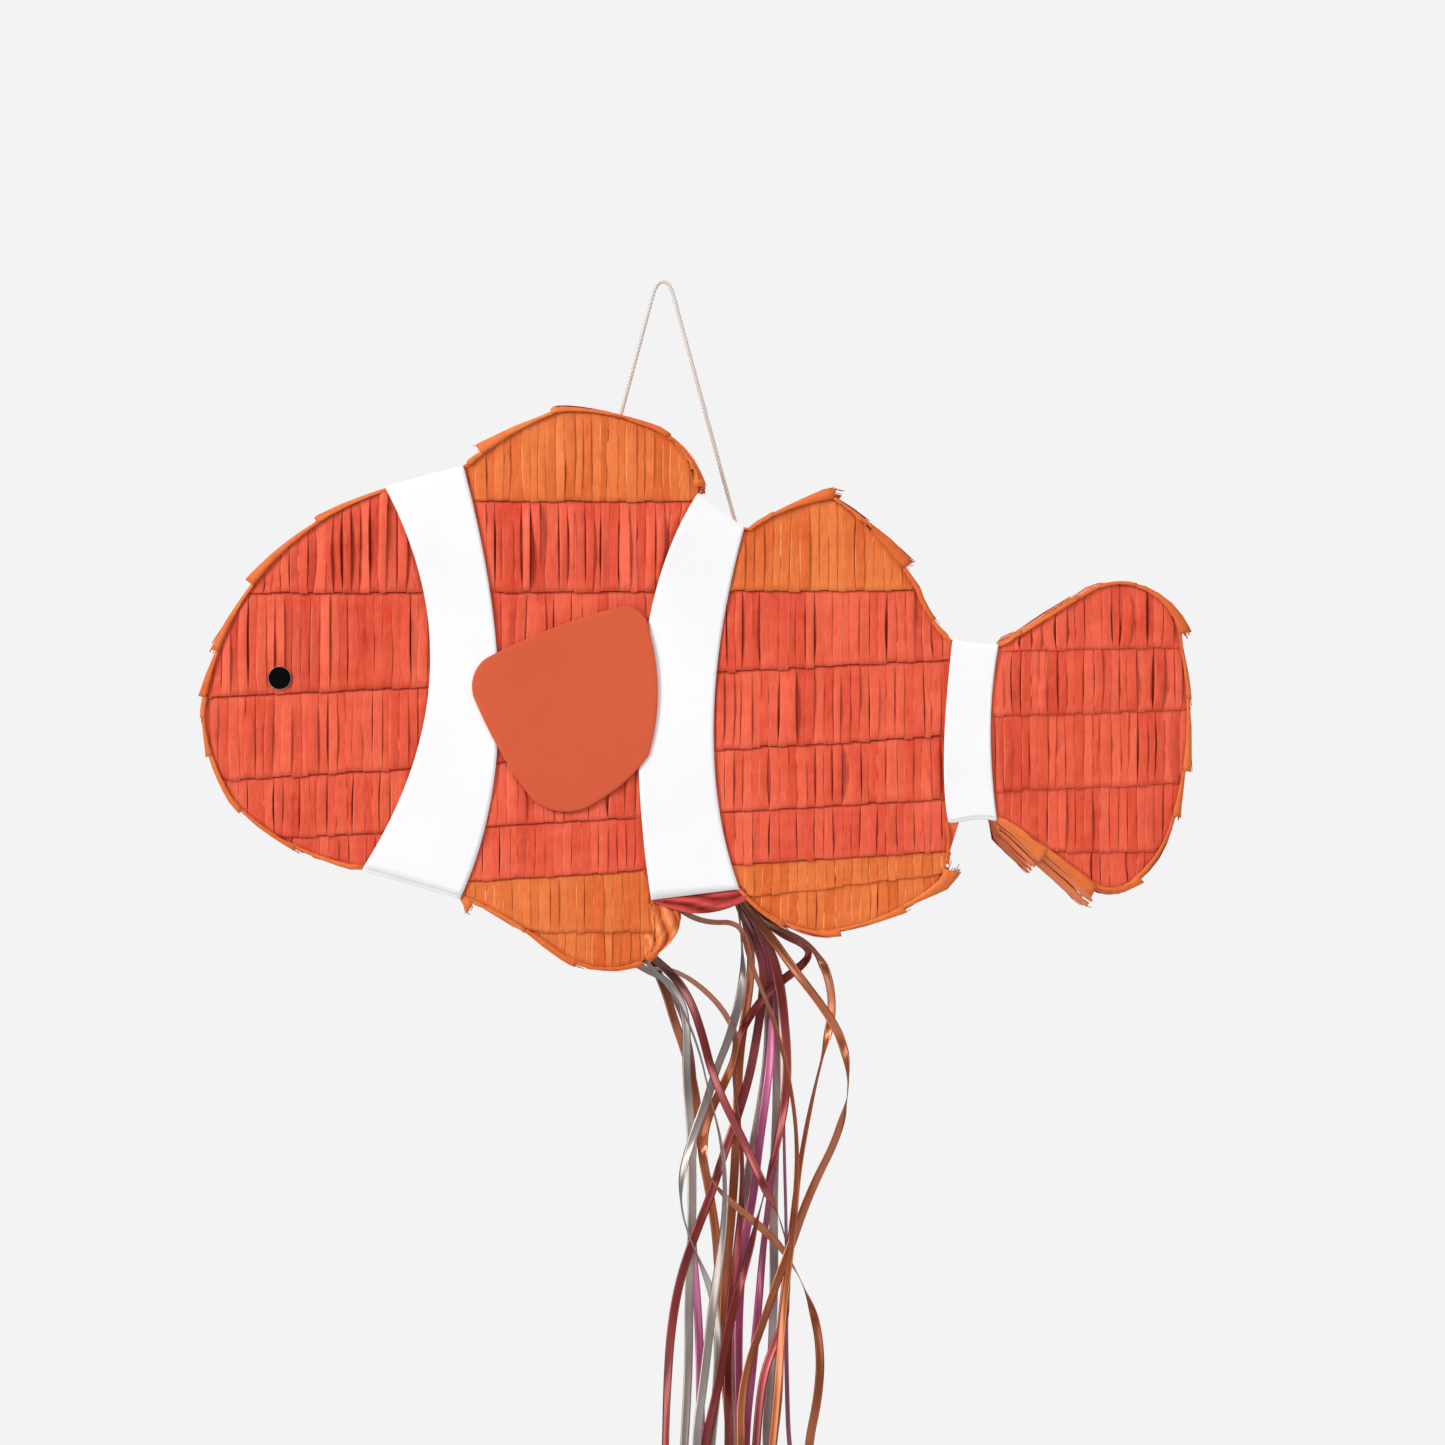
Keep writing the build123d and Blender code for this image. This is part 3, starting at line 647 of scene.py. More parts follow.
# %% Build the rows
draw = np.random.default_rng(38)
row_ends = np.array([-300.0, 175.0]) * mm
row_edges = np.array([(-176, -174), (-236, -212), (-283, -254), (-317, -289), (-348, -318)]) * mm
tail_ends = np.array([175.0, 293.0]) * mm
tail_edges = np.array([(-208.3, -205.6), (-244.4, -240.6), (-286.1, -281.1), (-320.0, -318.9)]) * mm
no_edge = None
row_lift = 1.0 * mm  # of a row's lower edge off the row below it
tuck = 3.0 * mm  # of a row's upper edge under the row above it
sheet_gap = 0.3 * mm
backing_lift = 0.1 * mm
tissue_thickness = 0.12 * mm
full_spring = 40 * mm  # how long a strip has to be to spring out in full
flap_low, flap_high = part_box("filler_flap")
flap_top = flap_high.z

# Each row: its CAD node, the lines above and below it (which ends, which heights), its looseness
# and the share of its length that the slits run down to.
body_line = [(row_ends, edge) for edge in row_edges]
tail_line = [(tail_ends, edge) for edge in tail_edges]
pelvic_split = (row_ends, np.array([-363.9, -363.9]) * mm)
anal_split = (np.array([41.0, 165.0]) * mm, np.array([-345.6, -330.6]) * mm)
fin_floor = (row_ends, np.array([-124.5, -124.5]) * mm)
face_rows = {
    "front_dorsal_tissue": [(no_edge, fin_floor, 0.55, 0.88)],
    "rear_dorsal_tissue": [(no_edge, body_line[0], 0.5, 0.88)],
    "body_tissue_row_1": [(no_edge, body_line[0], 1.45, 0.97)],
    "body_tissue_row_2": [(body_line[0], body_line[1], 0.8, 0.97)],
    "body_tissue_row_3": [(body_line[1], body_line[2], 0.8, 0.97)],
    "body_tissue_row_4": [(body_line[2], body_line[3], 0.9, 0.97)],
    "body_tissue_row_5": [
        (body_line[3], body_line[4], 0.7, 0.93),
        (body_line[4], no_edge, 0.5, 0.97),
    ],
    "pelvic_fin_tissue": [
        (body_line[4], pelvic_split, 0.5, 0.86),
        (pelvic_split, no_edge, 0.5, 0.97),
    ],
    "anal_fin_tissue": [
        (body_line[4], anal_split, 0.55, 0.84),
        (anal_split, no_edge, 0.5, 0.97),
    ],
    "tail_tissue": [
        (no_edge, tail_line[0], 1.1, 0.95),
        (tail_line[0], tail_line[1], 1.3, 0.97),
        (tail_line[1], tail_line[2], 0.9, 0.95),
        (tail_line[2], tail_line[3], 0.8, 0.97),
        (tail_line[3], no_edge, 0.6, 0.97),
    ],
}


def line_at(line, x, missing):
    """The height of a row's straight edge at each x, or the missing value without one."""
    if line is None:
        return np.full(x.shape, missing)
    (x0, x1), (z0, z1) = line
    return z0 + (x - x0) / (x1 - x0) * (z1 - z0)


def broad_wrinkles(x, z):
    """Soft dents a few centimetres across: sines that cross at odd angles, up to 0.6 mm."""
    return 0.2 * mm * (
        np.sin(211 * x + 97 * z) + np.sin(-137 * x + 173 * z + 2) + np.sin(331 * x - 61 * z + 4)
    )


def face_row(border, upper, lower, looseness, open_to, side, window=None, painted_glints=False):
    """One row of strips on the front (side -1) or back (side 1): its points, tones, edges and UVs.
    window (left, right, bottom, top) keeps the row inside a rectangle. The last flag makes its slits
    overlap more, with stronger painted highlights and weaker painted shade along them."""
    left, right = border[:, :, 0].min(), border[:, :, 0].max()
    if window:
        left, right = max(left, window[0]), min(right, window[1])
    count = max(1, int(round((right - left) / strip_pitch)))
    edges = np.linspace(left, right, count + 1)
    edges[1:-1] += draw.uniform(-0.7, 0.7, count - 1) * mm
    inside = np.clip(edges, left + 0.15 * mm, right - 0.15 * mm)
    low, high = heights_in(border, inside)
    top = np.minimum(high, line_at(upper, inside, 1) + tuck)
    bottom = np.maximum(low, line_at(lower, inside, -1))
    if window:
        top, bottom = np.minimum(top, window[3]), np.maximum(bottom, window[2])
    strips = Strips(draw, count, looseness, open_to)
    # Painted highlights on the slits of the orange rows, with less painted shade.
    if painted_glints:
        strips.painted_glint = strips.painted_glint * 0.6 - 0.5
        strips.dark *= 0.6
        strips.gap -= 0.2 * mm
    x = strips.sideways(edges)
    v = along_strip[None, :, None]
    strip_top = top[:-1, None, None] * (1 - across) + top[1:, None, None] * across
    strip_bottom = bottom[:-1, None, None] * (1 - across) + bottom[1:, None, None] * across
    z = strip_top * (1 - v) + strip_bottom * v - strips.drop[:, None, None] * smooth(v, 0.8, 1.0)
    length = top - bottom
    size = np.clip((length[:-1] + length[1:]) / 2 / full_spring, 0, 1.2)
    lying = (sheet_gap + row_lift * v**3) * np.ones_like(x)
    height = lying + strips.outwards(size)
    under, depth = pressed(x, z)
    from_rim = signed_depth(card_border, x, z)
    height += broad_wrinkles(x, z) * looseness * np.sin(np.pi * v)
    height *= (1 - under * 0.8) * (0.25 + 0.75 * smooth(from_rim, -0.5 * mm, 5 * mm))
    if window:
        height *= 0.2 + 0.8 * smooth(np.abs(z - flap_top), 1 * mm, 8 * mm)
    height = np.clip(height, 0.22 * mm, 6 * mm)
    points = np.stack([x, side * (-front_y + height), z], axis=-1)
    tone, edge = strips.numbers()
    tone = np.clip(tone + (np.sin(22 * v + 90 * x) * 0.12), 0, 1)
    flats = np.stack([x, z], axis=-1)
    shown = np.minimum(high, line_at(upper, inside, 1)) - bottom
    keep = (depth.min(axis=(1, 2)) < 4 * mm) & (shown[:-1] + shown[1:] > 2.0 * mm)
    strips_made = [part[keep] for part in (points, tone, edge, flats)]
    ends = np.stack([np.maximum(top, bottom), bottom])
    corners = np.stack([ends[:, :-1], ends[:, 1:]], axis=-1).swapaxes(0, 1)
    sides = np.broadcast_to(np.stack([edges[:-1], edges[1:]], axis=-1)[:, None], corners.shape)
    behind = np.full(corners.shape, side * (-front_y + backing_lift))
    backing = np.stack([sides, behind, corners], axis=-1)[keep]
    # The backing sheets take the darkest tone and a third of the painted slit shade: painted shade seen
    # through the slits.
    full = np.ones(backing.shape[:3])
    return [strips_made, [backing, full, full * 0.35, backing[..., [0, 2]]]]


def tissue_piece(name, rows, material, slot, body, replaced, flip=False):
    """One object out of grids of strips and their backing sheets."""
    grids = [grid for row in rows for grid in row if len(grid[0])]
    sizes = [grid[0][..., 0].size for grid in grids]
    starts = np.concatenate([[0], np.cumsum(sizes)])
    faces = [grid_quads(grid[0].shape[:3], flip) + start for grid, start in zip(grids, starts)]
    points, tone, edge, flats = (
        np.concatenate([grid[i].reshape(-1, *grid[i].shape[3:]) for grid in grids]) for i in range(4)
    )
    made = piece(name, points, np.concatenate(faces), material, slot, body, replaced, flats,
                 tone=tone, edge=edge)
    thicken(made, tissue_thickness)


tissue_front_y = -46 * mm
borders = {name: face_border(name, tissue_front_y) for name in face_rows}
orange_nodes = ("front_dorsal_tissue", "rear_dorsal_tissue", "pelvic_fin_tissue", "anal_fin_tissue")
for name, rows in face_rows.items():
    orange = name in orange_nodes
    made = [face_row(borders[name], *row, side=-1, painted_glints=orange) for row in rows]
    tissue_piece(
        name.replace("tissue", "strips"), made, orange_tissue if orange else red_tissue,
        "orange_tissue" if orange else "red_tissue", "carcass", (name,),
    )
    print(name, sum(len(row[0][0]) for row in made), "strips")

# %% [markdown]
# ## The back
# The back has the same rows, seen the other way round, and a filler flap cut in it. Where a row
# crosses the flap it is built in parts: beside it, above and below it, and on the flap itself,
# which moves on its own hinge.

# %% Build the back
flap_gap = 0.6 * mm
flap_left, flap_right = flap_low.x, flap_high.x
flap_bottom = flap_low.z
flap_score = 1.2 * mm
far = 1.0
around_flap = [
    (-far, flap_left - flap_gap, -far, far),
    (flap_right + flap_gap, far, -far, far),
    (flap_left, flap_right, flap_top + flap_score, far),
    (flap_left, flap_right, -far, flap_bottom - flap_gap),
]
on_flap = (flap_left + flap_gap, flap_right - flap_gap, flap_bottom + flap_gap, flap_top - flap_score)
back_rows = {"red": [], "orange": [], "flap": []}
for name, rows in face_rows.items():
    orange = name in orange_nodes
    for row in rows:
        if name in ("body_tissue_row_1", "body_tissue_row_2"):
            for window in around_flap:
                back_rows["red"].append(face_row(borders[name], *row, side=1, window=window))
            back_rows["flap"].append(face_row(borders[name], *row, side=1, window=on_flap))
        else:
            made = face_row(borders[name], *row, side=1, painted_glints=orange)
            back_rows["orange" if orange else "red"].append(made)
tissue_piece("back_red_strips", back_rows["red"], red_tissue, "red_tissue", "carcass",
             ("back_tissue_red",), flip=True)
tissue_piece("back_orange_strips", back_rows["orange"], orange_tissue, "orange_tissue", "carcass",
             ("back_tissue_orange",), flip=True)
tissue_piece("filler_flap_strips", back_rows["flap"], red_tissue, "red_tissue", "filler_flap",
             ("filler_flap_tissue",), flip=True)
print({key: sum(len(row[0][0]) for row in rows) for key, rows in back_rows.items()}, "back strips")

# %% [markdown]
# ## The fringe round the edge
# The band of card between the two faces is covered like a tiled roof: short rows of orange
# strips, each glued at one end, with the free end over the start of the next. The free ends
# spring away from the card, and that gives the fish its ragged outline. Under the tail and the
# belly they hang down. Each row runs along the outline from where it is glued to its free end.

# %% Build the fringe
# Each row: glued end and free end near (x, z) in mm, spring and droop of the free end in mm, and
# the sag between the two faces where the tissue hangs loose.
fringe_rows = {
    "top_edge_tissue": [
        (-108, -106, -153, -118, 1.5, 0), (-150, -117, -192, -136, 3.5, 0),
        (-187, -134, -229, -166, 5.5, 0), (-226, -164, -250, -207, 4.5, 0),
        (-248, -203, -257, -232, 4.0, 0), (-256, -228, -256, -246, 1.5, 0),
        (-88, -89, -107, -105, 2.5, 0), (-62, -76, -100, -97, 6.5, 0.5),
        (-22, -78, -60, -74, 2.5, 0), (-26, -77, 2, -90, 1.5, 0), (-4, -87, 22, -117, 5.0, 0),
        (4, -92, 28, -120, 8.5, 0), (28, -126, 62, -131, 1.5, 0), (52, -139, 97, -122, 7.0, 0),
        (93, -122, 117, -138, 2.5, 0), (104, -126, 137, -160, 6.5, 0), (132, -160, 150, -192, 2.5, 0),
        (147, -187, 165, -205, 2.0, 0), (160, -203, 171, -206, 0.8, 0),
    ],
    "tail_edge_tissue": [
        (168, -206, 200, -199, 1.5, 0), (194, -202, 232, -178, 1.5, 0), (226, -180, 262, -172, 1.0, 0),
        (256, -171, 289, -199, 5.5, 0), (288, -195, 292, -236, 2.0, 0), (291, -228, 288, -274, 5.0, 0),
        (290, -266, 284, -300, 3.5, 0), (285, -292, 262, -334, 2.5, 0),
        (240, -337, 264, -333, 3.0, 0.5, 3), (207, -313, 243, -337, 3.0, 0.5, 10),
        (180, -300, 214, -318, 3.0, 0.5, 13), (171, -300, 188, -301, 2.0, 0.5, 8),
    ],
    "rear_belly_edge_tissue": [
        (171, -300, 160, -300, 1.5, 0), (158, -303, 158, -326, 1.0, 0),
        (128, -352, 160, -330, 8.0, -1.0), (92, -364, 134, -349, 3.5, 0),
        (64, -356, 98, -364, 2.0, 1.0), (43, -341, 70, -358, 2.0, 0.5),
    ],
    "front_belly_edge_tissue": [
        (-256, -244, -254, -266, 2.5, 0), (-254, -262, -236, -296, 2.0, 0),
        (-239, -291, -200, -316, 1.5, 0.5), (-204, -315, -164, -329, 2.0, 0.5),
        (-168, -328, -136, -337, 1.0, 0), (-140, -336, -106, -346, 6.5, 1.0),
        (-110, -345, -76, -364, 1.5, 0), (-80, -361, -45, -381, 1.5, 0.5),
        (-49, -380, -10, -378, 2.0, 1.0), (-13, -347, -5, -352, 2.0, 1.0),
        (-6, -347, -5, -372, 3.5, 0), (-4, -356, -8, -378, 3.0, 0),
    ],
    "belly_edge_tissue": [(-7, -346, 0.5, -345, 2.0, 1.0), (43, -340, 37.5, -341, 0.5, 0)],
}
# Loose sheets at both faces, where tissue is bunched and not cut: held line, free line, folds, and
# whether the one on the front has its faces turned round.
drapes = {
    "belly_edge_tissue": [
        (((-7, -344), (18, -341), (45, -338)), ((-6, -346.5), (21, -353.5), (48, -345.5)), 1.7, False),
    ],
    "front_belly_edge_tissue": [
        (((-9, -348), (-9.5, -363), (-9, -379.5)), ((5.5, -349.5), (9.3, -362), (-4, -377.5)),
         2.3, True),
    ],
}
band_reach = 45.3 * mm
fringe_lift = 0.5 * mm
fringe_tuck = 4 * mm  # of a row's glued end under the row before it
stand_under_stripe = 0.55 * mm
cheek_width = 0.9 * mm
cheek_y = 46.9 * mm  # of an outer strip's side, once it is folded over onto a face
fold_shares = (0, 0.5, 0.9, 1)  # of an outer strip's width: its fold starts at the second
stripe_reaches = []
for border in stripe_borders:
    depth = signed_depth(border, fine_outline[:, 0], fine_outline[:, 1])
    wrapped = fine_outline[:, 1] > (-200 * mm if border is stripe_borders[1] else -1)
    stripe_reaches.append(fine_reach[(depth > -0.2 * mm) & wrapped])
covered_reach = np.concatenate(stripe_reaches)


def under_stripe(reach):
    """1 where that distance along the outline is under a paper stripe, fading out beside it."""
    reach = np.mod(reach, outline_length)
    gap = np.abs(reach[..., None] - covered_reach).min(axis=-1)
    return 1 - smooth(gap, 0.5 * mm, 5 * mm)


def fringe_row(glued, free, spring, droop, sag=0, looseness=0.9, half=band_reach):
    """One row of strips side by side across the band, from minus half to half of its width. v runs
    along the outline from the glued end to the free end, and a point stands off it by the
    fringe's lift plus spring times v to the power 2.4, plus the sag of the loose tissue between
    the two faces."""
    start, stop = reach_of(*glued), reach_of(*free)
    stop += outline_length * round((start - stop) / outline_length)
    direction = np.sign(stop - start)
    start -= direction * fringe_tuck
    count = int(round(2 * half / strip_pitch))
    edges = np.linspace(-half, half, count + 1)
    edges[1:-1] += draw.uniform(-0.6, 0.6, count - 1) * mm
    strips = Strips(draw, count, looseness, 1.4)
    y = strips.sideways(edges)
    v = along_strip[None, :, None]
    ends = stop + direction * draw.normal(0, 1.2, count)[:, None, None] * mm
    reach = (start * (1 - v) + ends * v) * np.ones_like(y)
    place, outward = on_outline(reach)
    vigour = draw.uniform(0.7, 1.15, count)[:, None, None]
    length = abs(stop - start)
    size = np.full(count, np.clip(length / full_spring, 0, 1))
    bulges = np.clip(strips.outwards(size), -0.3 * mm, 3 * mm)
    stand = fringe_lift + spring * mm * vigour * v**2.4 + bulges * 0.6
    inwards = np.clip((y + half) / (2 * half), 0, 1)
    stand += sag * mm * np.sin(np.pi * inwards) ** 0.7 * (0.8 + 0.2 * v)
    folds_over = np.zeros(count)
    if half > -front_y:
        folds_over[0], folds_over[-1] = -1, 1
    cheek = np.abs(folds_over)[:, None, None] > 0
    outer_share = np.where(folds_over[:, None, None] < 0, 1 - across, across)
    inner_y = np.where(folds_over[:, None] < 0, y[:, :, -1], y[:, :, 0])[:, :, None]
    face_y = folds_over[:, None, None] * cheek_y
    folded_y = inner_y + (face_y - inner_y) * np.interp(outer_share, fold_shares, (0, 0.95, 1, 1))
    standing = np.interp(outer_share, fold_shares, (1, 1, 0.4, 0))
    y = np.where(cheek, folded_y, y)
    stand = np.where(cheek, standing * (stand + cheek_width) - cheek_width, stand)
    covered = under_stripe(reach)
    stand = stand * (1 - covered) + np.minimum(stand, stand_under_stripe) * covered
    y = y * (1 - covered) + np.clip(y, -band_reach, band_reach) * covered
    x = place[..., 0] + outward[..., 0] * stand
    z = place[..., 1] + outward[..., 1] * stand - droop * mm * vigour * v**2
    points = np.stack([x, y, z], axis=-1)
    tone, edge = strips.numbers()
    # The fringe keeps six tenths of the painted slit shade and highlights, and its folded outer strips
    # none.
    edge = np.where(cheek, 0.0, edge * 0.6) + 0 * reach
    flats = np.stack([np.where(cheek, stand, y), reach], axis=-1)
    return [points, tone, edge, flats], direction > 0


def bow(points, share):
    """The parabola through three points, at shares 0, 1/2 and 1 of its way."""
    a, b, c = np.array(points) * mm
    t = share[:, None]
    return a * (1 - t) * (1 - 2 * t) + b * 4 * t * (1 - t) + c * t * (2 * t - 1)


def drape(held, free, side, folds, turned):
    """A crumpled sheet between the line where it is held and its free edge, each three points in
    mm, on the front (side -1) or the back (1). It lies 0.4 mm off the card where it is held, and
    0.6 mm plus up to 2.6 mm of folds further out where it is free. It turns in under itself."""
    u, v = np.linspace(0, 1, 25), np.linspace(0, 1, 21)
    a, b = bow(held, u), bow(free, u)
    wander = folds + 1.5 * np.sin(2.7 * u + folds) + 0.6 * np.sin(7.3 * u + side)
    pleat = np.abs(np.sin(np.pi * folds * v[:, None] + wander))
    crumple = 0.6 * np.sin(19 * u + 9 * v[:, None]) * np.sin(13 * v[:, None] - 7 * u)
    free_part = np.sin(np.pi * np.clip(u, 0.08, 0.92)) ** 0.5 * smooth(v[:, None], 0.12, 0.5)
    out = (45.4 + (2.6 * pleat + 0.6 + crumple) * free_part) * mm
    turn_in = np.array([(0.98, 43.5), (0.94, 41), (0.87, 38.5), (0.76, 36.4)])
    v = np.concatenate([v, turn_in[:, 0]])
    out = np.concatenate([out, np.broadcast_to(turn_in[:, 1:] * mm, (len(turn_in), len(u)))])
    pleat = np.concatenate([pleat, np.broadcast_to(pleat[-1] * 0.5 + 0.3, (len(turn_in), len(u)))])
    flat = a + (b - a) * v[:, None, None]
    points = np.stack([flat[..., 0], side * out, flat[..., 1]], axis=-1)
    tone = 0.5 + 0.4 * np.sin(6 * u + 5 * v[:, None])
    # Painted shade in the valleys of the folds and a painted highlight along their ridges.
    edge = 0.95 * (1 - pleat) ** 3 - 0.4 * pleat**8
    flats = np.stack(np.broadcast_arrays(v[:, None] * 0.012, u * 0.035), axis=-1)
    return [array[None] for array in (points, tone, edge, flats)], turned


def fringe_piece(name, rows, material, slot, body, replaced):
    """One object out of fringe rows, each with its faces pointing away from the card."""
    parts = [[[array[:, :, ::-1 if turned else 1] for array in grid]] for grid, turned in rows]
    tissue_piece(name, parts, material, slot, body, replaced)


for name, rows in fringe_rows.items():
    made = []
    for glued_x, glued_z, free_x, free_z, *amounts in rows:
        made.append(fringe_row((glued_x, glued_z), (free_x, free_z), *amounts))
    for held, free, folds, front_turned in drapes.get(name, ()):
        for side in (-1, 1):
            made.append(drape(held, free, side, folds, front_turned == (side < 0)))
    belly = name == "belly_edge_tissue"
    fringe_piece(
        name.replace("tissue", "fringe"), made, dark_red_tissue if belly else orange_tissue,
        "dark_red_tissue" if belly else "orange_tissue", "carcass", (name,),
    )
    print(name, sum(len(part[0]) for part, _ in made), "strips")

door_half = 34.3 * mm
door_strips = [
    fringe_row((34, -341.3), (17, -343.3), 4.5, 1.5, looseness=1.2, half=door_half),
    fringe_row((20, -343), (3.5, -345), 3.5, 1.0, looseness=1.2, half=door_half),
]
fringe_piece("trapdoor_fringe", door_strips, dark_red_tissue, "dark_red_tissue", "trapdoor",
             ("trapdoor_tissue",))

# %% [markdown]
# ## Paper stripes
# Each stripe is one piece of stiff white paper, cut to a curved shape and folded over the fish:
# up the back, over the top and down the front, and under the belly too on the head and the tail.
# The flat part is a Coons patch: the blend of four border curves, left, right, top and bottom.

# %% Build the stripes
# Left and right sides of each stripe as upper, middle and lower points in mm, whether it goes all
# the way round, and how far its left side stands out in mm down to which share of its height.
stripe_sides = {
    "head_stripe": (((-153.5, -117), (-129, -222), (-166, -328.5)),
                    ((-110, -106.5), (-90.5, -240), (-111.5, -344)), True, 1.5, 0.3),
    "body_stripe": (((19, -121), (-11, -215), (-6, -346)),
                    ((45, -141.3), (28.5, -250), (43, -340)), False, 3.4, 0.42),
    "tail_stripe": (((161, -203), (156.3, -262), (158.5, -302)),
                    ((187, -205.5), (182.7, -250), (186, -299.5)), True, 1.4, 1.0),
}
stripe_y = 46.75 * mm
fold_radius = 1.4 * mm
wrap_stand = 1.7 * mm
stripe_thickness = 0.3 * mm


def coons(top, bottom, left, right):
    """Blends four borders that share their corners: straight lines between opposite borders,
    added, less the corners' own blend."""
    u = np.linspace(0, 1, len(top))[None, :, None]
    v = np.linspace(0, 1, len(left))[:, None, None]
    ruled = (1 - v) * top[None] + v * bottom[None] + (1 - u) * left[:, None] + u * right[:, None]
    corners = (1 - v) * ((1 - u) * top[0] + u * top[-1]) + v * ((1 - u) * bottom[0] + u * bottom[-1])
    return ruled - corners


def edge_run(first, last, columns):
    """Points and outward normals on the outline from near one point to near another."""
    start, stop = reach_of(*first), reach_of(*last)
    stop += outline_length * round((start - stop) / outline_length)
    return on_outline(np.linspace(start, stop, columns))


columns, down_rows, fold_rows, wrap_rows = 21, 49, 5, 13


def over_edge(line, outward, towards):
    """The paper over one edge: a quarter circle, straight across the band, a quarter circle."""
    angle = np.linspace(0, np.pi / 2, fold_rows)[1:]
    straight = np.linspace(-stripe_y + fold_radius, stripe_y - fold_radius, wrap_rows)[1:-1]
    side = np.concatenate([-stripe_y + fold_radius * (1 - np.cos(angle)), straight,
                           stripe_y - fold_radius * (1 - np.cos(angle[::-1]))])
    stand = np.concatenate([fold_radius * np.sin(angle), np.full(wrap_rows - 2, fold_radius),
                            fold_radius * np.sin(angle[::-1])])
    place = line[None] + outward[None] * stand[:, None, None]
    level = np.broadcast_to(side[:, None], place.shape[:2])
    return np.stack([place[..., 0], level, place[..., 1]], axis=-1)[::towards]


waves = np.random.default_rng(5)
for name, (left, right, all_round, facet, facet_end) in stripe_sides.items():
    top, top_out = edge_run(left[0], right[0], columns)
    bottom, bottom_out = edge_run(left[2], right[2], columns)
    inset = wrap_stand - fold_radius
    top_line, bottom_line = top + top_out * inset, bottom + bottom_out * (inset if all_round else 0)
    share = np.linspace(0, 1, down_rows)
    left_line, right_line = bow(left, share), bow(right, share)
    left_line += (top_line[0] - left_line[0]) * (1 - share[:, None])
    right_line += (top_line[-1] - right_line[0]) * (1 - share[:, None])
    left_line += (bottom_line[0] - left_line[-1]) * share[:, None]
    right_line += (bottom_line[-1] - right_line[-1]) * share[:, None]
    flat = coons(top_line, bottom_line, left_line, right_line)
    u, v = np.meshgrid(np.linspace(0, 1, columns), share)
    phase = waves.uniform(0, 6, 4)
    wave = (
        np.sin(5.0 * v + phase[0]) * np.sin(2.2 * u + phase[1])
        + 0.6 * np.sin(11 * v + 3 * u + phase[2]) * np.sin(3.1 * u + phase[3])
    ) * 0.22 * mm * np.sin(np.pi * v)
    wave -= facet * mm * np.sin(np.pi * np.clip(v / facet_end, 0, 1)) * (1 - u)
    front = np.stack([flat[..., 0], -stripe_y - 0.2 * mm + wave, flat[..., 1]], axis=-1)
    back = np.stack([flat[..., 0], stripe_y + 0.2 * mm - wave, flat[..., 1]], axis=-1)
    sheets = [front[::-1], over_edge(top_line, top_out, 1), back]
    if all_round:
        sheets.append(over_edge(bottom_line, bottom_out, -1))
    rows = np.concatenate(sheets)
    if all_round:
        rows = np.concatenate([rows, rows[:1]])
    run = reach_along(rows[:, columns // 2])
    flats = np.stack(np.broadcast_arrays(np.linspace(0, 0.04, columns)[None], run[:, None]), axis=-1)
    faces = grid_quads((1, *rows.shape[:2]), flip=True)
    made = piece(name.replace("stripe", "paper_stripe"), rows, faces, stripe_paper, "white_paper",
                 "carcass", (name,), flats)
    thicken(made, stripe_thickness)
    width = float(np.linalg.norm(right_line - left_line, axis=1).mean())
    print(name, f"{run[-1] / mm:.0f} mm long")

# %% [markdown]
# ## Card fins and eyes
# The pectoral fins are flat card with rounded corners, a touch bowed, so that they stand off the
# tissue a little at their rear. The eyes are small discs of black card with a pale cut edge.

# %% Build the fins and eyes
def card_disc(border_loop, centre, rings, stand, thickness, side, rim=0.985):
    """A card shape as rings from its middle out to its border, on two faces joined round the rim,
    which starts at that share of the way out. stand gives the height of the card's back off the
    face at each point."""
    share = np.concatenate([np.linspace(0.05, rim - 0.03, rings), [rim, 1.0]])
    flat = centre + (border_loop - centre) * share[:, None, None]
    base = stand(flat[..., 0], flat[..., 1])
    soften = np.concatenate([np.zeros(rings), [0.03, 0.22]])[:, None] * thickness
    outer = np.concatenate([flat, (base + thickness - soften)[..., None]], axis=-1)
    inner = np.concatenate([flat, (base + soften)[..., None]], axis=-1)
    surface_points = np.concatenate([outer, inner[::-1]])
    near_edge = np.concatenate([np.zeros(rings + 1), [1.0, 1.0], np.zeros(rings + 1)])
    x, z, height = np.moveaxis(surface_points, -1, 0)
    points = np.stack([x, side * (-front_y + height), z], axis=-1)
    return points, np.broadcast_to(near_edge[:, None], x.shape)


def even_loop(border, count):
    """A boundary's points spread evenly along it."""
    loop = follow(border)
    closed = np.concatenate([loop, loop[:1]])
    reach = reach_along(closed)
    return read_line(closed, reach, np.linspace(0, reach[-1], count, endpoint=False))


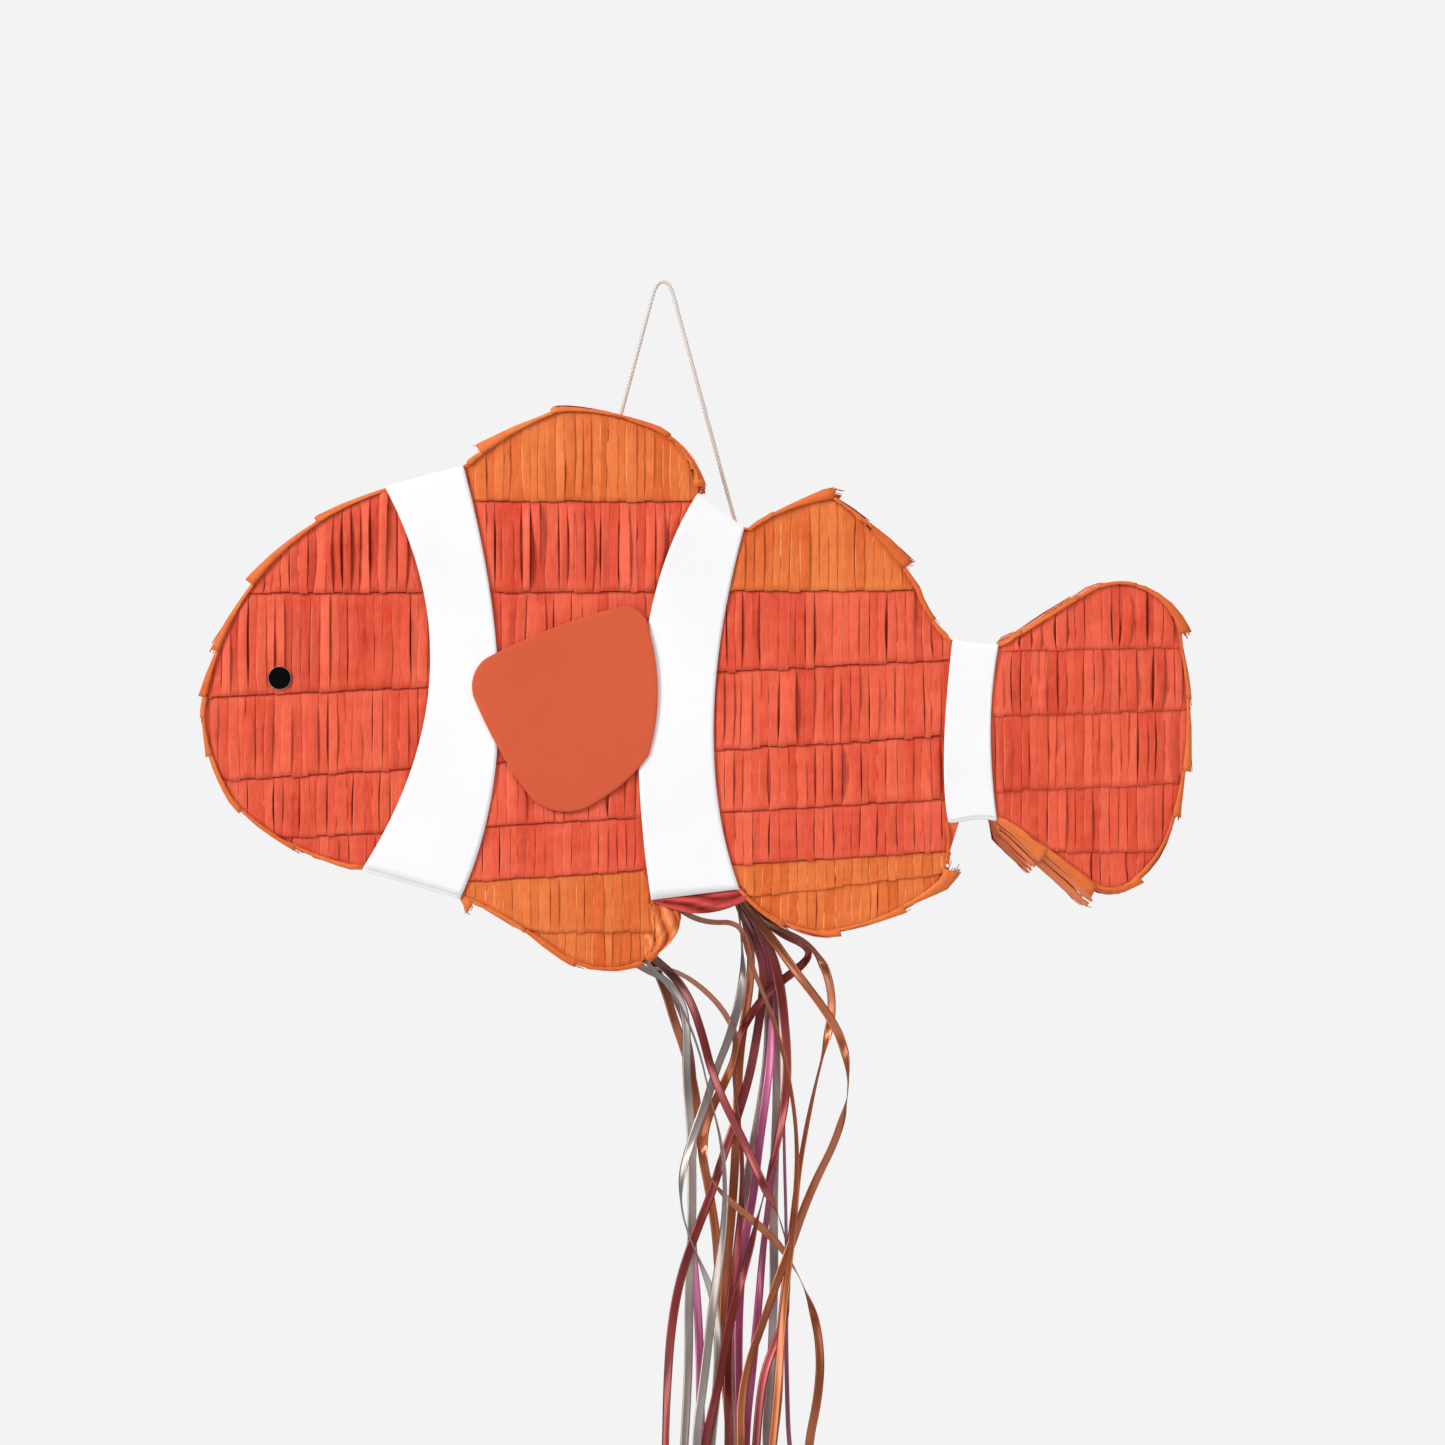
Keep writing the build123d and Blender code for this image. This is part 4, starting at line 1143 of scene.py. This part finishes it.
def discs(name, shapes, material, slot, replaced):
    """An object from discs. Each has rings of points, an edge number per point, and whether its
    faces have to be turned to point outwards. A fan of triangles closes each of its middles."""
    points, numbers, faces, start = [], [], [], 0
    for rings, near_edge, flip in shapes:
        rows, count = rings.shape[:2]
        middles = start + rows * count
        here = np.arange(count)
        there = np.roll(here, -1)
        top = np.full(count, middles)
        last = start + (rows - 1) * count
        fans = np.concatenate([np.stack([top, start + here, start + there], axis=1),
                               np.stack([top + 1, last + there, last + here], axis=1)])
        quads = grid_quads((1, rows, count), False, round_again=True) + start
        faces += (quads[:, ::-1] if flip else quads).tolist() + (fans[:, ::-1] if flip else fans).tolist()
        points += [rings.reshape(-1, 3), rings[0].mean(axis=0)[None], rings[-1].mean(axis=0)[None]]
        numbers += [near_edge.ravel(), [0.0, 0.0]]
        start = middles + 2
    points = np.concatenate(points)
    piece(name, points, faces, material, slot, "carcass", replaced, points[:, [0, 2]],
          edge=np.concatenate(numbers))


fin_thickness, eye_thickness = 1.0 * mm, 1.1 * mm
fin_loop = even_loop(fin_border, 160)
fin_centre = fin_loop.mean(axis=0)


def fin_stand(x, z):
    """The fin rests on the stripes near its front and lifts slowly towards its rear edge."""
    return 2.1 * mm + 0.5 * mm * smooth(x, -0.06, 0.0) + 0.25 * mm * np.sin(30 * x + 24 * z)


for side, name in ((-1, "front_pectoral_fin"), (1, "back_pectoral_fin")):
    rings, near_edge = card_disc(fin_loop, fin_centre, 14, fin_stand, fin_thickness, side)
    discs(name.replace("_fin", "_card"), [(rings, near_edge * 0, side < 0)], fin_card,
          "terracotta_card", (name,))

eye_loop = even_loop(eye_border, 64)


def eye_stand(x, z):
    """The eye lies flat on the tissue pressed under it."""
    return np.full(x.shape, 1.2 * mm)


eye_shapes = []
for side in (-1, 1):
    centre = eye_loop.mean(axis=0)
    rings, near_edge = card_disc(eye_loop, centre, 5, eye_stand, eye_thickness, side, rim=0.965)
    eye_shapes.append((rings, near_edge, side < 0))
discs("eye_discs", eye_shapes, eye_card, "black_card", ("eyes",))
print(len(eye_shapes), "eyes and as many fins")

# %% [markdown]
# ## Hanging cord
# The loop is one length of twisted cotton. Its line is a NURBS spline with a few points: the two
# knots inside the fish, a point a little below the hook on each leg, and two at the bend. The
# cord's surface is a ring of points carried along that line, whose radius swells three times
# round for the three strands, turning as it goes.

# %% Build the cord
def smooth_line(points):
    """Points read from the NURBS spline that has the given points as its control points."""
    curve = bpy.data.curves.new("line", "CURVE")
    curve.dimensions = "3D"
    curve.resolution_u = 12
    spline = curve.splines.new("NURBS")
    spline.points.add(len(points) - 1)
    spline.points.foreach_set("co", np.c_[points, np.ones(len(points))].ravel())
    spline.order_u = 3
    spline.use_endpoint_u = True
    holder = bpy.data.objects.new("line", curve)
    mesh = bpy.data.meshes.new_from_object(holder)
    line = np.empty(len(mesh.vertices) * 3)
    mesh.vertices.foreach_get("co", line)
    bpy.data.objects.remove(holder)
    bpy.data.meshes.remove(mesh)
    return line.reshape(-1, 3)


def evenly(line, step):
    """The same line with its points spread evenly, about that far apart."""
    reach = reach_along(line)
    at = np.linspace(0, reach[-1], int(reach[-1] / step) + 1)
    return read_line(line, reach, at), at


def frames(line):
    """Unit vectors along the line, across it in the plane of x and z, and out of that plane."""
    forward = np.gradient(line, axis=0)
    forward /= np.linalg.norm(forward, axis=1, keepdims=True)
    side = np.cross(forward, (0, 1, 0))
    side /= np.linalg.norm(side, axis=1, keepdims=True)
    return forward, side, np.cross(forward, side)


def closed_tube(rings):
    """The faces of a tube of rings [ring, point], with both ends filled."""
    rows, count = rings.shape[:2]
    faces = grid_quads((1, rows, count), False, round_again=True).tolist()
    faces.append(list(range(count))[::-1])
    faces.append(list(range((rows - 1) * count, rows * count)))
    return faces


def strand_tube(line, reach, radius, lay):
    """Rings round a line: radius times (1 - 0.12 + 0.12 cos 3(angle - turn)), one turn per lay."""
    _, side, out = frames(line)
    angle = np.linspace(0, 2 * np.pi, 15, endpoint=False)[None]
    lobe = np.cos(3 * (angle - 2 * np.pi * reach[:, None] / lay))
    size = radius * (0.88 + 0.12 * lobe)
    ring = line[:, None] + size[..., None] * (
        np.cos(angle)[..., None] * side[:, None] + np.sin(angle)[..., None] * out[:, None]
    )
    flats = np.stack(np.broadcast_arrays(angle * radius - reach[:, None] * 0.6, reach[:, None]), axis=-1)
    # The third result is painted shade, deepest in the grooves between the strands.
    return ring, flats, (1 - lobe) / 2


knot_low, knot_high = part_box("cord_knots")
cord_low, cord_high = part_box("hanging_cord")
cord_diameter = 2.5 * mm
cord_lay = 7 * mm
cord_step = 1.2 * mm
knot_size = 8 * mm
knot_scale = 0.92 * mm
front_knot = np.array([knot_low.x + knot_size / 2, 0, knot_high.z - knot_size / 2])
rear_knot = np.array([knot_high.x - knot_size / 2, 0, knot_low.z + knot_size / 2])
bend_top = cord_high.z - cord_diameter / 2
cord_points = np.array([
    front_knot, (-24.8 * mm, 0, -78 * mm), (-8.2 * mm, 0, -15.5 * mm), (-3.6 * mm, 0, bend_top),
    (3.7 * mm, 0, bend_top), (8.3 * mm, 0, -15.5 * mm), (42.4 * mm, 0, -140.5 * mm), rear_knot,
])
cord_line, cord_reach = evenly(smooth_line(cord_points), cord_step)
rings, flats, painted_groove_shade = strand_tube(cord_line, cord_reach, cord_diameter / 2, cord_lay)
cord = piece("cotton_loop", rings, closed_tube(rings), white_cotton, "white_cord", "hanging_loop",
             ("hanging_cord",), flats, edge=painted_groove_shade.ravel())

# Each knot is a trefoil: its line goes twice round while it weaves three times in and out.
turn = np.linspace(0, 2 * np.pi, 140)
trefoil = np.stack([np.sin(turn) + 2 * np.sin(2 * turn), -np.sin(3 * turn) * 1.6,
                    np.cos(turn) - 2 * np.cos(2 * turn)], axis=-1) * knot_scale
knot_parts, knot_flats, knot_painted_groove_shades, knot_faces = [], [], [], []
for place in (front_knot, rear_knot):
    line = trefoil + place
    rings, flats, painted_groove_shade = strand_tube(line, reach_along(line), cord_diameter / 2, cord_lay)
    offset = sum(part.shape[0] * part.shape[1] for part in knot_parts)
    knot_faces += [[corner + offset for corner in face] for face in closed_tube(rings)]
    knot_parts.append(rings)
    knot_flats.append(flats)
    knot_painted_groove_shades.append(painted_groove_shade)
knots = piece("cotton_knots", np.concatenate(knot_parts), knot_faces, white_cotton, "white_cord",
              "hanging_loop", ("cord_knots",), np.concatenate(knot_flats),
              edge=np.concatenate(knot_painted_groove_shades).ravel())

# %% [markdown]
# ## Curling ribbons
# Each ribbon is a flat film 5 mm wide that has been pulled over a blade, so it hangs in lazy
# curves and turns on itself: broad where it faces the viewer, a thin line where it is seen on
# edge. Its line is a NURBS spline, and its section is a thin lens that turns about that line.
# The turn is given in degrees at a few heights, and eased between them.

# %% Routes of the ribbons
# Each: how far behind the middle it hangs at its top, its way down as (x, z), and its turn at
# some heights, all in mm and degrees.
ribbons = {
    "copper_ribbon_1": (28, [
        (-8, -379), (0.5, -397.5), (6, -416.5), (12, -433.5), (17, -452.5), (20, -471.5), (22, -493),
        (26, -513), (30, -536.5), (31.5, -562), (34, -587.5), (35, -615.5), (37.5, -644), (39, -678.5),
        (44, -713), (43.5, -747.5),
    ], [
        (-379, 0), (-420, 10), (-470, 0), (-560, 15), (-650, 5), (-748, 20)
    ]),
    "silver_ribbon_1": (24, [
        (-17, -383.5), (-10, -388), (-1.5, -391.5), (6, -398.5), (11.5, -408.5), (13.5, -423),
        (13, -440), (14, -460.5), (16, -483), (16.5, -511), (16, -542), (14.5, -573.5), (14.5, -607),
        (13, -641), (10.5, -682), (12, -722.5), (10, -763.5),
    ], [
        (-383, 40), (-415, 20), (-450, 5), (-560, 0), (-650, 12), (-764, 0)
    ]),
    "red_ribbon_1": (-27, [
        (-6, -378), (5, -387), (15.5, -402), (22, -421), (27.5, -443.5), (36, -463.5), (45.5, -481.5),
        (54, -501), (64, -520), (70, -539.5), (72, -559.5), (69.5, -580.5), (62, -597), (56, -614),
        (53, -641), (51, -677.5), (53.5, -714.5), (55, -751),
    ], [
        (-378, 30), (-400, -25), (-428, -20), (-450, -27), (-500, -22), (-528, 95), (-565, 85),
        (-590, 20), (-751, 10)
    ]),
    "copper_ribbon_2": (-8, [
        (-17, -383.5), (-9, -386.5), (0.5, -385), (12.5, -389.5), (24.5, -398.5), (34.5, -409.5),
        (42, -424), (40, -439), (33.5, -453), (25.5, -468.5), (22, -486), (26, -503.5), (38.5, -517),
        (53.5, -529.5), (67, -543), (77.5, -560.5), (86, -581.5), (89, -604.5), (87, -628.5),
        (82, -652), (79.5, -692), (82.5, -732), (83.5, -772),
    ], [
        (-383, 60), (-400, 50), (-435, 45), (-460, -15), (-478, -22), (-499, 85), (-520, 40),
        (-534, 20), (-562, 88), (-586, 20), (-640, 0), (-772, 10)
    ]),
    "silver_ribbon_3": (-19, [
        (-10, -380.5), (0.5, -391), (12, -408.5), (21, -432), (26.5, -457), (33.5, -483),
        (35.5, -506.5), (34.5, -531), (30.5, -557.5), (26.5, -587.5), (23, -618.5), (18.5, -649.5),
        (19.5, -698), (16, -746.5),
    ], [
        (-380, 60), (-420, 75), (-460, 82), (-500, 60), (-560, 25), (-590, 5), (-746, 0)
    ]),
    "magenta_ribbon_1": (32, [
        (-12, -381.5), (0, -394.5), (9.5, -411), (16, -432), (18, -457.5), (17.5, -486), (15.5, -517),
        (17, -548), (19.5, -579), (21, -613), (21, -646.5), (23, -685.5), (29, -724.5), (33, -763.5),
    ], [
        (-381, 70), (-430, 60), (-480, 40), (-540, 30), (-640, 10), (-763, 0)
    ]),
    "silver_ribbon_2": (-12, [
        (40, -342), (43, -353), (45, -376), (45.5, -390), (43, -405.5), (37.5, -424.5), (30, -442.5),
        (24, -462.5), (16, -483), (11, -500), (10, -518.5), (15.5, -537.5), (23, -554), (29.5, -573.5),
        (31.5, -598.5), (30.5, -624), (27, -652), (24, -696.5), (23, -741), (20.5, -785.5),
    ], [
        (-342, 84), (-372, 80), (-402, 8), (-439, -32), (-470, 0), (-497, 32), (-518, 78), (-540, 80),
        (-570, 30), (-640, 5), (-785, 0)
    ]),
    "red_ribbon_2": (-4, [
        (41, -342), (48.5, -353), (60, -361), (69, -367.5), (79.5, -372), (83.5, -378.5),
        (77.5, -385.5), (64.5, -395), (51.5, -409), (42.5, -425.5), (39.5, -444.5), (42.5, -467),
        (45, -491.5), (44.5, -517), (42, -545), (38, -573.5), (36, -604.5), (37.5, -641),
        (36.5, -676.5), (34, -711.5), (32.5, -747),
    ], [
        (-342, 20), (-366, 10), (-378, 40), (-390, 10), (-425, 30), (-450, 70), (-500, 60),
        (-560, 20), (-747, 0)
    ]),
    "red_ribbon_3": (-15.5, [
        (41, -342), (49, -356), (58, -368), (63, -382.5), (66.5, -400.5), (69.5, -424), (70, -449),
        (66.5, -474.5), (60.5, -499), (54, -523.5), (48, -548.5), (40.5, -573.5), (35, -598.5),
        (30.5, -624), (23.5, -652), (22.5, -689), (22, -725.5), (20, -762),
    ], [
        (-342, 40), (-380, 10), (-440, 0), (-490, 40), (-516, 86), (-545, 40), (-580, 0),
        (-762, 10)
    ]),
    "red_ribbon_4": (0, [
        (40, -342), (44, -354), (52.5, -371.5), (57, -384.5), (56.5, -401), (53.5, -422),
        (49.5, -444.5), (42.5, -468.5), (34, -491.5), (27, -514), (17, -538.5), (9, -563), (4.5, -590),
        (2.5, -621), (1.5, -652), (1, -700.5), (3, -748.5),
    ], [
        (-342, 30), (-380, 10), (-430, 0), (-500, 15), (-570, 0), (-650, 35), (-748, 10)
    ]),
    "copper_ribbon_3": (-31, [
        (41, -342), (49, -354), (60.5, -367), (68.5, -378.5), (78.5, -392), (89, -405.5), (99, -421),
        (104, -439), (103.5, -459), (96.5, -482), (87, -501), (79, -519.5), (72, -540.5), (64, -561),
        (56.5, -583.5), (48.5, -604.5), (43.5, -629.5), (44, -655), (42, -693.5), (42.5, -731.5),
        (45.5, -769.5),
    ], [
        (-342, 20), (-380, -15), (-398, -24), (-414, -20), (-452, 86), (-475, 150), (-535, 165),
        (-580, 150), (-650, 180), (-769, 170)
    ]),
    "copper_ribbon_4": (-23, [
        (42, -342), (49, -353), (59, -360.5), (69.5, -364.5), (80.5, -370), (89, -380), (94, -394),
        (95, -411), (90.5, -431), (84.5, -455), (79.5, -480), (75.5, -505.5), (73, -532.5), (69, -562),
        (66, -593), (65, -624), (61, -655), (58, -697.5), (53.5, -740.5), (48, -783),
    ], [
        (-342, 60), (-376, 55), (-390, -20), (-406, -24), (-437, 76), (-480, 60), (-560, 20), (-640, 0),
        (-783, 10)
    ]),
    "silver_ribbon_4": (20, [
        (41, -342), (48, -356), (57, -370), (61, -386), (63, -407), (64.5, -432), (64.5, -463.5),
        (63, -494.5), (62.5, -525.5), (63, -556.5), (62.5, -587.5), (61, -618.5), (58, -652),
        (61, -695.5), (66.5, -738.5), (68.5, -781.5),
    ], [
        (-342, 30), (-400, 10), (-480, 0), (-600, 10), (-781, 0)
    ]),
    "magenta_ribbon_2": (4, [
        (40.5, -342), (47, -357), (56, -373.5), (59.5, -390), (61, -409.5), (61, -433.5), (58, -459),
        (54, -486), (51, -514), (45.5, -542), (43, -573.5), (42.5, -604.5), (43, -635.5), (44.5, -658),
        (41.5, -707.5), (44.5, -757),
    ], [
        (-342, 30), (-400, 25), (-470, 10), (-560, 5), (-640, 20), (-757, 0)
    ]),
    "magenta_ribbon_3": (12, [
        (42, -342), (49, -355), (58.5, -368), (65.5, -384.5), (69.5, -405.5), (71, -432), (69, -460.5),
        (64, -488.5), (60, -517), (56.5, -548), (54, -579), (51, -610), (46.5, -646.5), (46.5, -686.5),
        (43.5, -726.5), (42, -767),
    ], [
        (-342, 60), (-430, 60), (-520, 50), (-600, 20), (-640, 5), (-767, 0)
    ]),
    "magenta_ribbon_4": (36, [
        (42, -342), (49, -354), (58, -366), (64.5, -382.5), (67.5, -404), (69, -429.5), (68.5, -460.5),
        (69, -494.5), (70, -528), (70.5, -562), (70, -596), (70.5, -629.5), (71.5, -658), (77, -697),
        (79.5, -736.5), (81, -775.5),
    ], [
        (-342, 60), (-430, 74), (-520, 70), (-640, 60), (-775, 40)
    ]),
    "silver_ribbon_5": (16, [
        (40.5, -342), (46, -354), (53, -371.5), (57.5, -387), (60, -408.5), (59.5, -435),
        (55.5, -463.5), (50, -491.5), (45.5, -519.5), (44, -548), (40.5, -579), (39.5, -610),
        (40.5, -646.5), (44.5, -680), (46, -713.5), (45.5, -747),
    ], [
        (-342, 40), (-430, 20), (-520, 10), (-640, 15), (-747, 0)
    ]),
    "copper_ribbon_5": (8, [
        (40, -342), (44.5, -353), (49.5, -372), (50, -388), (47.5, -408.5), (43.5, -432), (42, -460.5),
        (41, -491.5), (39, -522.5), (36, -553.5), (34, -584.5), (34.5, -615.5), (38, -646.5),
        (37, -682.5), (35.5, -718), (37.5, -754),
    ], [
        (-342, 50), (-400, 20), (-440, 5), (-560, 0), (-650, 10), (-754, 0)
    ]),
    "pull_ribbon": (-35, [
        (4, -346), (10, -352), (19, -357), (29, -359), (38, -358.5), (45, -362.5), (48, -376.5),
        (53, -390.5), (60, -407.5), (66, -425.5), (71, -446), (74.5, -469), (75.5, -491.5),
        (74.5, -514), (72.5, -539.5), (68.5, -567.5), (66, -596), (64, -624), (61, -655), (55.5, -702),
        (47.5, -749),
    ], [
        (-346, 60), (-356, 50), (-362, 55), (-400, 62), (-470, 65), (-540, 50), (-620, 20),
        (-749, 10)
    ]),
}
ribbon_gather = 0.9  # the bunch draws together by this much from top to bottom
ribbon_width = 5.0 * mm
ribbon_step = 2.2 * mm
film = 0.25 * mm
cupped = 0.35 * mm  # how much the film's section curves
# Painted shade at the top of the bunch: its strength, where it starts to fade, and where it is gone, in
# mm.
painted_top_shade_depth, painted_top_shade_start = 0.85, 4
painted_top_shade_lengths = {name: 55 for name in ribbons} | {"copper_ribbon_4": 105, "red_ribbon_2": 70}


def ribbon_route(depth, points):
    """The spline's points in metres, gathered towards the middle on the way down. They sway to and
    fro too, all alike where they cross, so that their order from front to back stays."""
    x, z = np.array(points, float).T
    share = np.linspace(0, 1, len(x))
    sway = 6.6 * np.sin(0.039 * (z + 470) - 0.047 * (x - 38)) + 0.9 * np.sin(0.11 * z + 0.07 * x)
    swing = sway * smooth(-z, -z[0] + 8, -z[0] + 60)
    return np.stack([x, depth * (1 + (ribbon_gather - 1) * share) + swing, z], axis=-1) * mm


def ribbon_rings(line, turn):
    """A lens section at every point of the line: five points across the front, five back. a goes
    across it from -1 to 1, b through it, and the whole section is cupped."""
    _, side, out = frames(line)
    angle = np.radians(turn)[:, None]
    wide = np.cos(angle) * side + np.sin(angle) * out
    thick = np.cos(angle) * out - np.sin(angle) * side
    a = np.array([-1, -0.6, 0, 0.6, 1, 1, 0.6, 0, -0.6, -1])
    b = np.array([-0.15, -0.5, -0.5, -0.5, -0.15, 0.15, 0.5, 0.5, 0.5, 0.15]) * film
    sideways = a * ribbon_width / 2
    through = b + cupped * (a**2 - 0.4)
    rings = line[:, None] + sideways[:, None] * wide[:, None] + through[:, None] * thick[:, None]
    return rings, np.broadcast_to(sideways, rings.shape[:2])


total = 0.0
for name, (depth, points, turns) in ribbons.items():
    line, reach = evenly(smooth_line(ribbon_route(depth, points)), ribbon_step)
    heights, degrees = np.array(turns, float).T
    share = np.interp(-line[:, 2] / mm, -heights, np.arange(len(heights)))
    whole = np.clip(share.astype(int), 0, len(heights) - 2)
    part = share - whole
    turn = degrees[whole] + (degrees[whole + 1] - degrees[whole]) * part * part * (3 - 2 * part)
    rings, flats = ribbon_rings(line, turn)
    # Painted shade near the top of each ribbon, fading out further down.
    painted_top_shade = painted_top_shade_depth * (1 - smooth(reach, painted_top_shade_start * mm, painted_top_shade_lengths[name] * mm))
    painted_top_shade = np.broadcast_to(painted_top_shade[:, None], flats.shape)
    flats = np.stack(np.broadcast_arrays(flats, reach[:, None]), axis=-1)
    pulled = name == "pull_ribbon"
    kind = "copper" if pulled else name.split("_")[0]
    made = piece(name.replace("ribbon", "streamer"), rings, closed_tube(rings), ribbon_finishes[kind],
                 f"{kind}_ribbon", None if pulled else "carcass", (name,), flats, edge=painted_top_shade.ravel())
    if pulled:
        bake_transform(made)
    total += reach[-1]
    print(name, f"{reach[-1] / mm:.0f} mm")
print(f"{total:.2f} m of ribbon")

# %% [markdown]
# ## Card and tape
# The carcass keeps its CAD shapes: flat panels, bent bands, the door, the flap and the washers
# are what the real pieces are. They only need the look of plain brown card and of paper tape.

# %% Finish the CAD pieces that stay
card_nodes = [name for name in nodes if name.endswith("_band") or name.endswith("_panel")]
plain_looks = {name: kraft_card for name in (*card_nodes, "trapdoor", "filler_flap", "cord_washers")}
plain_looks["ribbon_tape"] = paper_tape
for name, look in plain_looks.items():
    nodes[name].data.materials.clear()
    nodes[name].data.materials.append(look)
print(len(plain_looks), "pieces keep their CAD shape")
